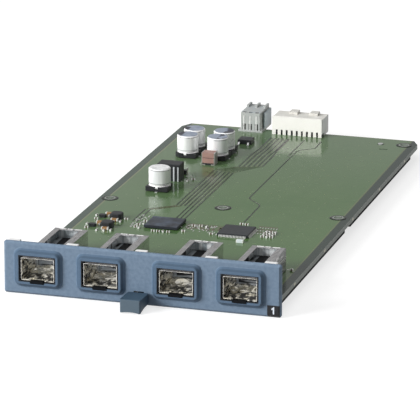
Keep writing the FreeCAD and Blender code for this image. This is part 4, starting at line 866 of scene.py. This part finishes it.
gaps.append(board_path(
    (12.8, GAP_END), (12.9, 231.0), (7.4, 226.5), (6.0, 223.5), (6.0, 142.5), (7.6, 139.6), (13.2, 133.6),
    (13.9, 131.0), (14.2, 105.0)
))
on_paths("copper_gaps", gaps, DARK_TRACE_AND_SHADE, Width=0.6, Height=0.03)
on_paths("copper_crossings", crossings, TRACE_BROWN, Width=0.42, Height=0.02)
on_paths("pale_strips", strips, STRIP_PALE, Width=0.5, Height=0.02)

VIA_COUNT, NUT_CLEAR = 120, 5.0
dice = random.Random(41)
vias = []
while len(vias) < VIA_COUNT:
    x = dice.uniform(-52.0, 52.0)
    y = dice.uniform(50.0, 250.0)
    clear = all((x - a) ** 2 + (y - b) ** 2 > NUT_CLEAR ** 2 for a, b in NUTS)
    under_cans = -50.0 < x < -18.0 and y > 138.0
    if clear and not under_cans:
        vias.append(at(x, y, SKIN))
on_points("board_vias", vias, DISCS, VIA_PALE, "board_laminate", Radius=0.27, Height=0.03, Sides=10)
on_points("nut_clearings", [at(x, y, SKIN) for x, y in NUTS], RINGS, DARK_TRACE_AND_SHADE, "board_laminate",
          Radius=3.6, Band=0.6, Height=0.03)
# Painted shade in a dark ring at each nut's edge, and a painted highlight in a bright ring round its bore.
on_points("nut_rims", [at(x, y, NUT_SKIN) for x, y in NUTS], RINGS, DARK_TRACE_AND_SHADE, "fastener_steel",
          Radius=3.08, Band=0.4, Height=0.03)
on_points("nut_mouths", [at(x, y, NUT_SKIN) for x, y in NUTS], RINGS, SOLDER_AND_HIGHLIGHT, "fastener_steel",
          Radius=2.22, Band=0.3, Height=0.03)
on_points("ground_clearing", [at(*GROUND_PIN, SKIN)], RINGS, DARK_TRACE_AND_SHADE, "board_laminate",
          Radius=1.4, Band=0.4, Height=0.03)


# Pads and brown marks round the two large chips, and pads by the right port and the inductor

LEFT_PADS, MIDDLE_PADS, SCATTERED_PADS = 34, 16, 46
RIGHT_COLUMNS, RIGHT_ROWS = 7, 3

pads, browns = [], []
for i in range(LEFT_PADS):
    pads.append(at(dice.uniform(-32.6, -28.2) + 0.9, 84.0 + i * 0.58, SKIN))
for i in range(MIDDLE_PADS):
    pads.append(at(-10.5 + i * 1.35, dice.choice((86.2, 88.0, 90.4)), SKIN))
for i in range(SCATTERED_PADS):
    pads.append(at(dice.uniform(-7.0, 12.5), dice.choice((89.2, 91.0, 93.4, 95.0)), SKIN))
    browns.append(at(dice.uniform(-7.4, 13.0), dice.uniform(88.6, 96.0), SKIN))
for column in range(RIGHT_COLUMNS):
    for row in range(RIGHT_ROWS):
        pads.append(at(24.2 + column * 1.25, 90.6 + row * 4.3, SKIN))
        browns.append(at(23.6 + column * 1.25, 93.0 + row * 4.0, SKIN))
pads += board_path((49.5, 43.0), (50.9, 44.1), (52.2, 45.9), (53.5, 42.7))
pads += board_path((-31.2, 167.6), (-28.8, 168.2), (-28.2, 160.9), (-27.1, 162.8), (-30.3, 163.2))
pads += board_path((-31.0, 159.4))
brown_lines = [board_path((-8.4, y), (13.0, y + 0.4)) for y in (90.2, 94.2, 96.6)]
on_points("solder_pads", pads, PLATES, SOLDER_AND_HIGHLIGHT, "board_laminate",
          Width=0.55, Depth=1.1, Height=0.12, Corner=0.1)
on_points("brown_marks", browns, PLATES, TRACE_BROWN, "board_laminate",
          Width=1.1, Depth=1.4, Height=0.02, Corner=0.2)
on_paths("brown_tracks", brown_lines, TRACE_BROWN, Width=0.5, Height=0.02)


# Printed tops of the four rear cans

can_tops = [at(x, y, CAN_TOP + 0.01) for x, y in CANS[1:]]
on_points("can_top_ink", can_tops, DISCS, CAN_INK, "can_aluminium", Radius=4.6, Height=0.04, Sides=48)


# Numeral on the label

NUMERAL_ACROSS, NUMERAL_LOW, LABEL_SKIN = 56.75, 1.55, PANEL_FACE - 0.125


def numeral(work):
    outline = [
        (-0.15, 0.0), (0.45, 0.0), (0.45, 3.1), (0.05, 3.1),
        (-0.25, 2.65), (-0.75, 2.35), (-0.75, 1.8), (-0.15, 2.05),
    ]

    def on_label(a, b, height):
        return Vector((NUMERAL_ACROSS + a, LABEL_SKIN - height, NUMERAL_LOW + b))

    prism(work, outline, 0.0, 0.04, on_label)


solid_piece("label_numeral", numeral, NUMERAL_WHITE, "card")


# Spring fingers in the cages

ACROSS, BACK, UP = Vector((1, 0, 0)), Vector((0, 1, 0)), Vector((0, 0, 1))
FINGER_START, CAGE_WALL = -0.9, 6.98
LEAF_LEVEL, LEAF_LEAST = BOARD_TOP + 0.34, 0.06
FRONT_SWELL, MORE_SWELL, SWELL_DEPTH = 0.25, 1.35, 9.0
BROAD_FOLDS, FINE_FOLDS = (0.22, 0.26), (0.6, 0.7)


def finger(work, start, inward, across, width, length, bow):
    """A thin leaf that leaves the wall at its front, bows inwards and comes back."""
    steps, thick = 10, 0.06
    rows = []
    for side in (0.0, thick):
        for i in range(steps + 1):
            t = i / steps
            rise = bow * math.sin(math.pi * min(1.0, t * 1.08)) + side
            spot = start + BACK * (length * t) + inward * rise
            rows.append([work.verts.new((spot + across * (width * s)) * MM) for s in (-0.5, 0.5)])
    top, low = rows[:steps + 1], rows[steps + 1:]
    for i in range(steps):
        work.faces.new((top[i][0], top[i][1], top[i + 1][1], top[i + 1][0]))
        work.faces.new((low[i][0], low[i + 1][0], low[i + 1][1], low[i][1]))
        for s in (0, 1):
            work.faces.new((top[i][s], top[i + 1][s], low[i + 1][s], low[i][s]))
    for i in (0, steps):
        work.faces.new((top[i][0], low[i][0], low[i][1], top[i][1]))


def ridges(across, depth, scale, seed):
    """Sharp valleys and soft ridges, from noise with its own scale each way."""
    return abs(noise.noise(Vector((across * scale[0], depth * scale[1], seed))))


def fold_height(across, depth, seed):
    broad = ridges(across, depth, BROAD_FOLDS, seed)
    return broad + 0.25 * ridges(across, depth, FINE_FOLDS, seed + 9.0)


def folded_leaf(work, middle, seed):
    """The bent contact leaves on a cage's floor: one sheet of folds over a flat underside."""
    columns, rows = 24, 34
    half_width, length, front_gap = 6.7, 17.5, 0.5
    floor = middle + UP * LEAF_LEVEL
    top, low = [], []
    for j in range(rows + 1):
        depth = front_gap + length * j / rows
        swell = FRONT_SWELL + MORE_SWELL * min(1.0, depth / SWELL_DEPTH)
        above, below = [], []
        for i in range(columns + 1):
            across = half_width * (2 * i / columns - 1)
            spot = floor + ACROSS * across + BACK * depth
            rise = LEAF_LEAST + swell * fold_height(across, depth, seed)
            above.append(work.verts.new((spot + UP * rise) * MM))
            below.append(work.verts.new(spot * MM))
        top.append(above)
        low.append(below)
    for j in range(rows):
        for i in range(columns):
            work.faces.new((top[j][i], top[j][i + 1], top[j + 1][i + 1], top[j + 1][i]))
            work.faces.new((low[j][i], low[j + 1][i], low[j + 1][i + 1], low[j][i + 1]))
        for i in (0, columns):
            work.faces.new((top[j][i], top[j + 1][i], low[j + 1][i], low[j][i]))
    for j in (0, rows):
        for i in range(columns):
            work.faces.new((top[j][i], top[j][i + 1], low[j][i + 1], low[j][i]))


def cage_fingers(work):
    for number, port in enumerate(PORTS):
        middle = Vector((port, PANEL_FACE, 0))
        start = middle + BACK * FINGER_START
        folded_leaf(work, middle, 3.7 * number)
        for offset in (-4.2, 0.0, 4.2):
            roof_start = start + ACROSS * offset + UP * CAGE_ROOF
            finger(work, roof_start, -UP, ACROSS, 2.6, 6.5, 0.5)
        for sign in (-1, 1):
            for level in (BOARD_TOP + 2.6, BOARD_TOP + 6.6):
                wall_start = start + ACROSS * (sign * CAGE_WALL) + UP * level
                finger(work, wall_start, -sign * ACROSS, UP, 2.4, 8.0, 0.3)


solid_piece("cage_fingers", cage_fingers, SPRING_LEAF, "card", smooth=True)


# Bright fronts of the power blades

def blade_fronts(work):
    front, rear = POWER_FRONT - 0.05, POWER_FRONT + 0.3
    for way in POWER_WAYS:
        left, right = way - 0.42, way + 0.04
        outline = [(left, front), (right, front), (right, rear), (left, rear)]
        prism(work, outline, BOARD_TOP + 0.85, BOARD_TOP + 7.85, lambda a, b, c: Vector((a, b, c)))


solid_piece("blade_fronts", blade_fronts, NODE_FINISHES["power_blades"], "card")


# Return spring, on a mesh of its own

spring_mesh = frame["nodes"]["lever_spring"].data.copy()
return_spring = seat(bpy.data.objects.new("return_spring", spring_mesh), "card")
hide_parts("lever_spring")
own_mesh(return_spring)


# Studio, in metres

SKY_STRENGTH, FLOOR_GLOW = 0.34, 0.7
FLOOR_HALF, FLOOR_LEVEL = 9.0, -0.0002
LAMP_SIZE = 1.0
KEY_PLACE, KEY_POWER = (-1.3, -1.25, 0.75), 51.0
TOP_PLACE, TOP_POWER = (-0.3, 0.1, 1.5), 5.0

scene = bpy.context.scene
world = bpy.data.worlds.new("studio")
world.use_nodes = True
scene.world = world
sky = Graph(world.node_tree)
backdrop = world.node_tree.nodes["Background"]
paths = sky.node("ShaderNodeLightPath")
sideways, ahead, above = sky.axes(sky.node("ShaderNodeTexCoord").outputs["Generated"])
front_tent, top_tent = sky.spread(ahead, -0.1, -0.7, 0.4, 1.0), sky.spread(above, 0.35, 0.95, 0.4, 0.85)
tent = sky.math("MAXIMUM", front_tent, top_tent)
tent = sky.math("MULTIPLY", tent, sky.spread(sideways, 0.2, 0.9, 1.0, 0.85))
mirrored = sky.math("MAXIMUM", paths.outputs["Is Glossy Ray"], paths.outputs["Is Transmission Ray"])
strength = sky.blend(mirrored, SKY_STRENGTH, tent)
sky.feed(backdrop.inputs["Color"], (1, 1, 1))
sky.feed(backdrop.inputs["Strength"], sky.blend(paths.outputs["Is Camera Ray"], strength, 1.0))


def floor_material():
    """Pale floor that shows white, with the card's soft shadow."""
    material = bpy.data.materials.new("studio_floor")
    material.use_nodes = True
    graph = Graph(material.node_tree)
    shader = material.node_tree.nodes["Principled BSDF"]
    tone = graph.noise(graph.object_place(), 3.0, 2.0)
    graph.feed(shader.inputs["Base Color"], graph.mix(tone, grey(0.40), grey(0.44)))
    shader.inputs["Roughness"].default_value = 0.9
    shader.inputs["Specular IOR Level"].default_value = 0.0
    rays = graph.node("ShaderNodeLightPath")
    seen = graph.math("MAXIMUM", rays.outputs["Is Camera Ray"], rays.outputs["Is Glossy Ray"])
    glow = graph.node("ShaderNodeEmission")
    graph.feed(glow.inputs["Strength"], graph.math("MULTIPLY", seen, FLOOR_GLOW))
    total = graph.node("ShaderNodeAddShader")
    graph.feed(total.inputs[0], shader.outputs[0])
    graph.feed(total.inputs[1], glow.outputs[0])
    graph.feed(material.node_tree.nodes["Material Output"].inputs["Surface"], total.outputs[0])
    return material


floor_mesh = bpy.data.meshes.new("floor")
signs = ((-1, -1), (1, -1), (1, 1), (-1, 1))
floor_corners = [(x * FLOOR_HALF, y * FLOOR_HALF, FLOOR_LEVEL) for x, y in signs]
floor_mesh.from_pydata(floor_corners, [], [(0, 1, 2, 3)])
floor_mesh.materials.append(floor_material())
floor = bpy.data.objects.new("floor", floor_mesh)
scene.collection.objects.link(floor)


def soft_lamp(name, place, power):
    """A square lamp that faces the card and isn't mirrored in it."""
    lamp = bpy.data.lights.new(name, "AREA")
    lamp.size = LAMP_SIZE
    lamp.energy = power
    item = bpy.data.objects.new(name, lamp)
    item.location = place
    item.rotation_mode = "QUATERNION"
    item.rotation_quaternion = (-Vector(place)).to_track_quat("-Z", "Y")
    scene.collection.objects.link(item)
    item.visible_glossy = False


soft_lamp("key_lamp", KEY_PLACE, KEY_POWER)
soft_lamp("top_lamp", TOP_PLACE, TOP_POWER)


# Camera, fitted to the photograph; its places are millimetres

CAMERA_TURN, CAMERA_TIP, CAMERA_ROLL = (math.radians(angle) for angle in (16.48, 16.61, 0.15))
CAMERA_AIM = Vector((0.0, -27.7, 5.0))
AIM_ASIDE, AIM_ABOVE, CAMERA_DISTANCE = 0.1, 7.23, 1537.48

camera_data = bpy.data.cameras.new("camera")
camera_data.sensor_width = 36.0
camera_data.lens = 300.03
camera_data.clip_start, camera_data.clip_end = 0.05, 50.0
camera = bpy.data.objects.new("camera", camera_data)
scene.collection.objects.link(camera)
right = Vector((math.cos(CAMERA_TURN), math.sin(CAMERA_TURN), 0.0))
level_back = Vector((right.y, -right.x, 0.0))
behind = level_back * math.cos(CAMERA_TIP) + UP * math.sin(CAMERA_TIP)
up = behind.cross(right)
camera.location = (CAMERA_AIM + right * AIM_ASIDE + up * AIM_ABOVE + behind * CAMERA_DISTANCE) * MM
rolled_right = right * math.cos(CAMERA_ROLL) + up * math.sin(CAMERA_ROLL)
rolled_up = up * math.cos(CAMERA_ROLL) - right * math.sin(CAMERA_ROLL)
camera.rotation_mode = "QUATERNION"
camera.rotation_quaternion = Matrix((rolled_right, rolled_up, behind)).transposed().to_quaternion()
scene.camera = camera
scene.view_settings.view_transform = "Standard"
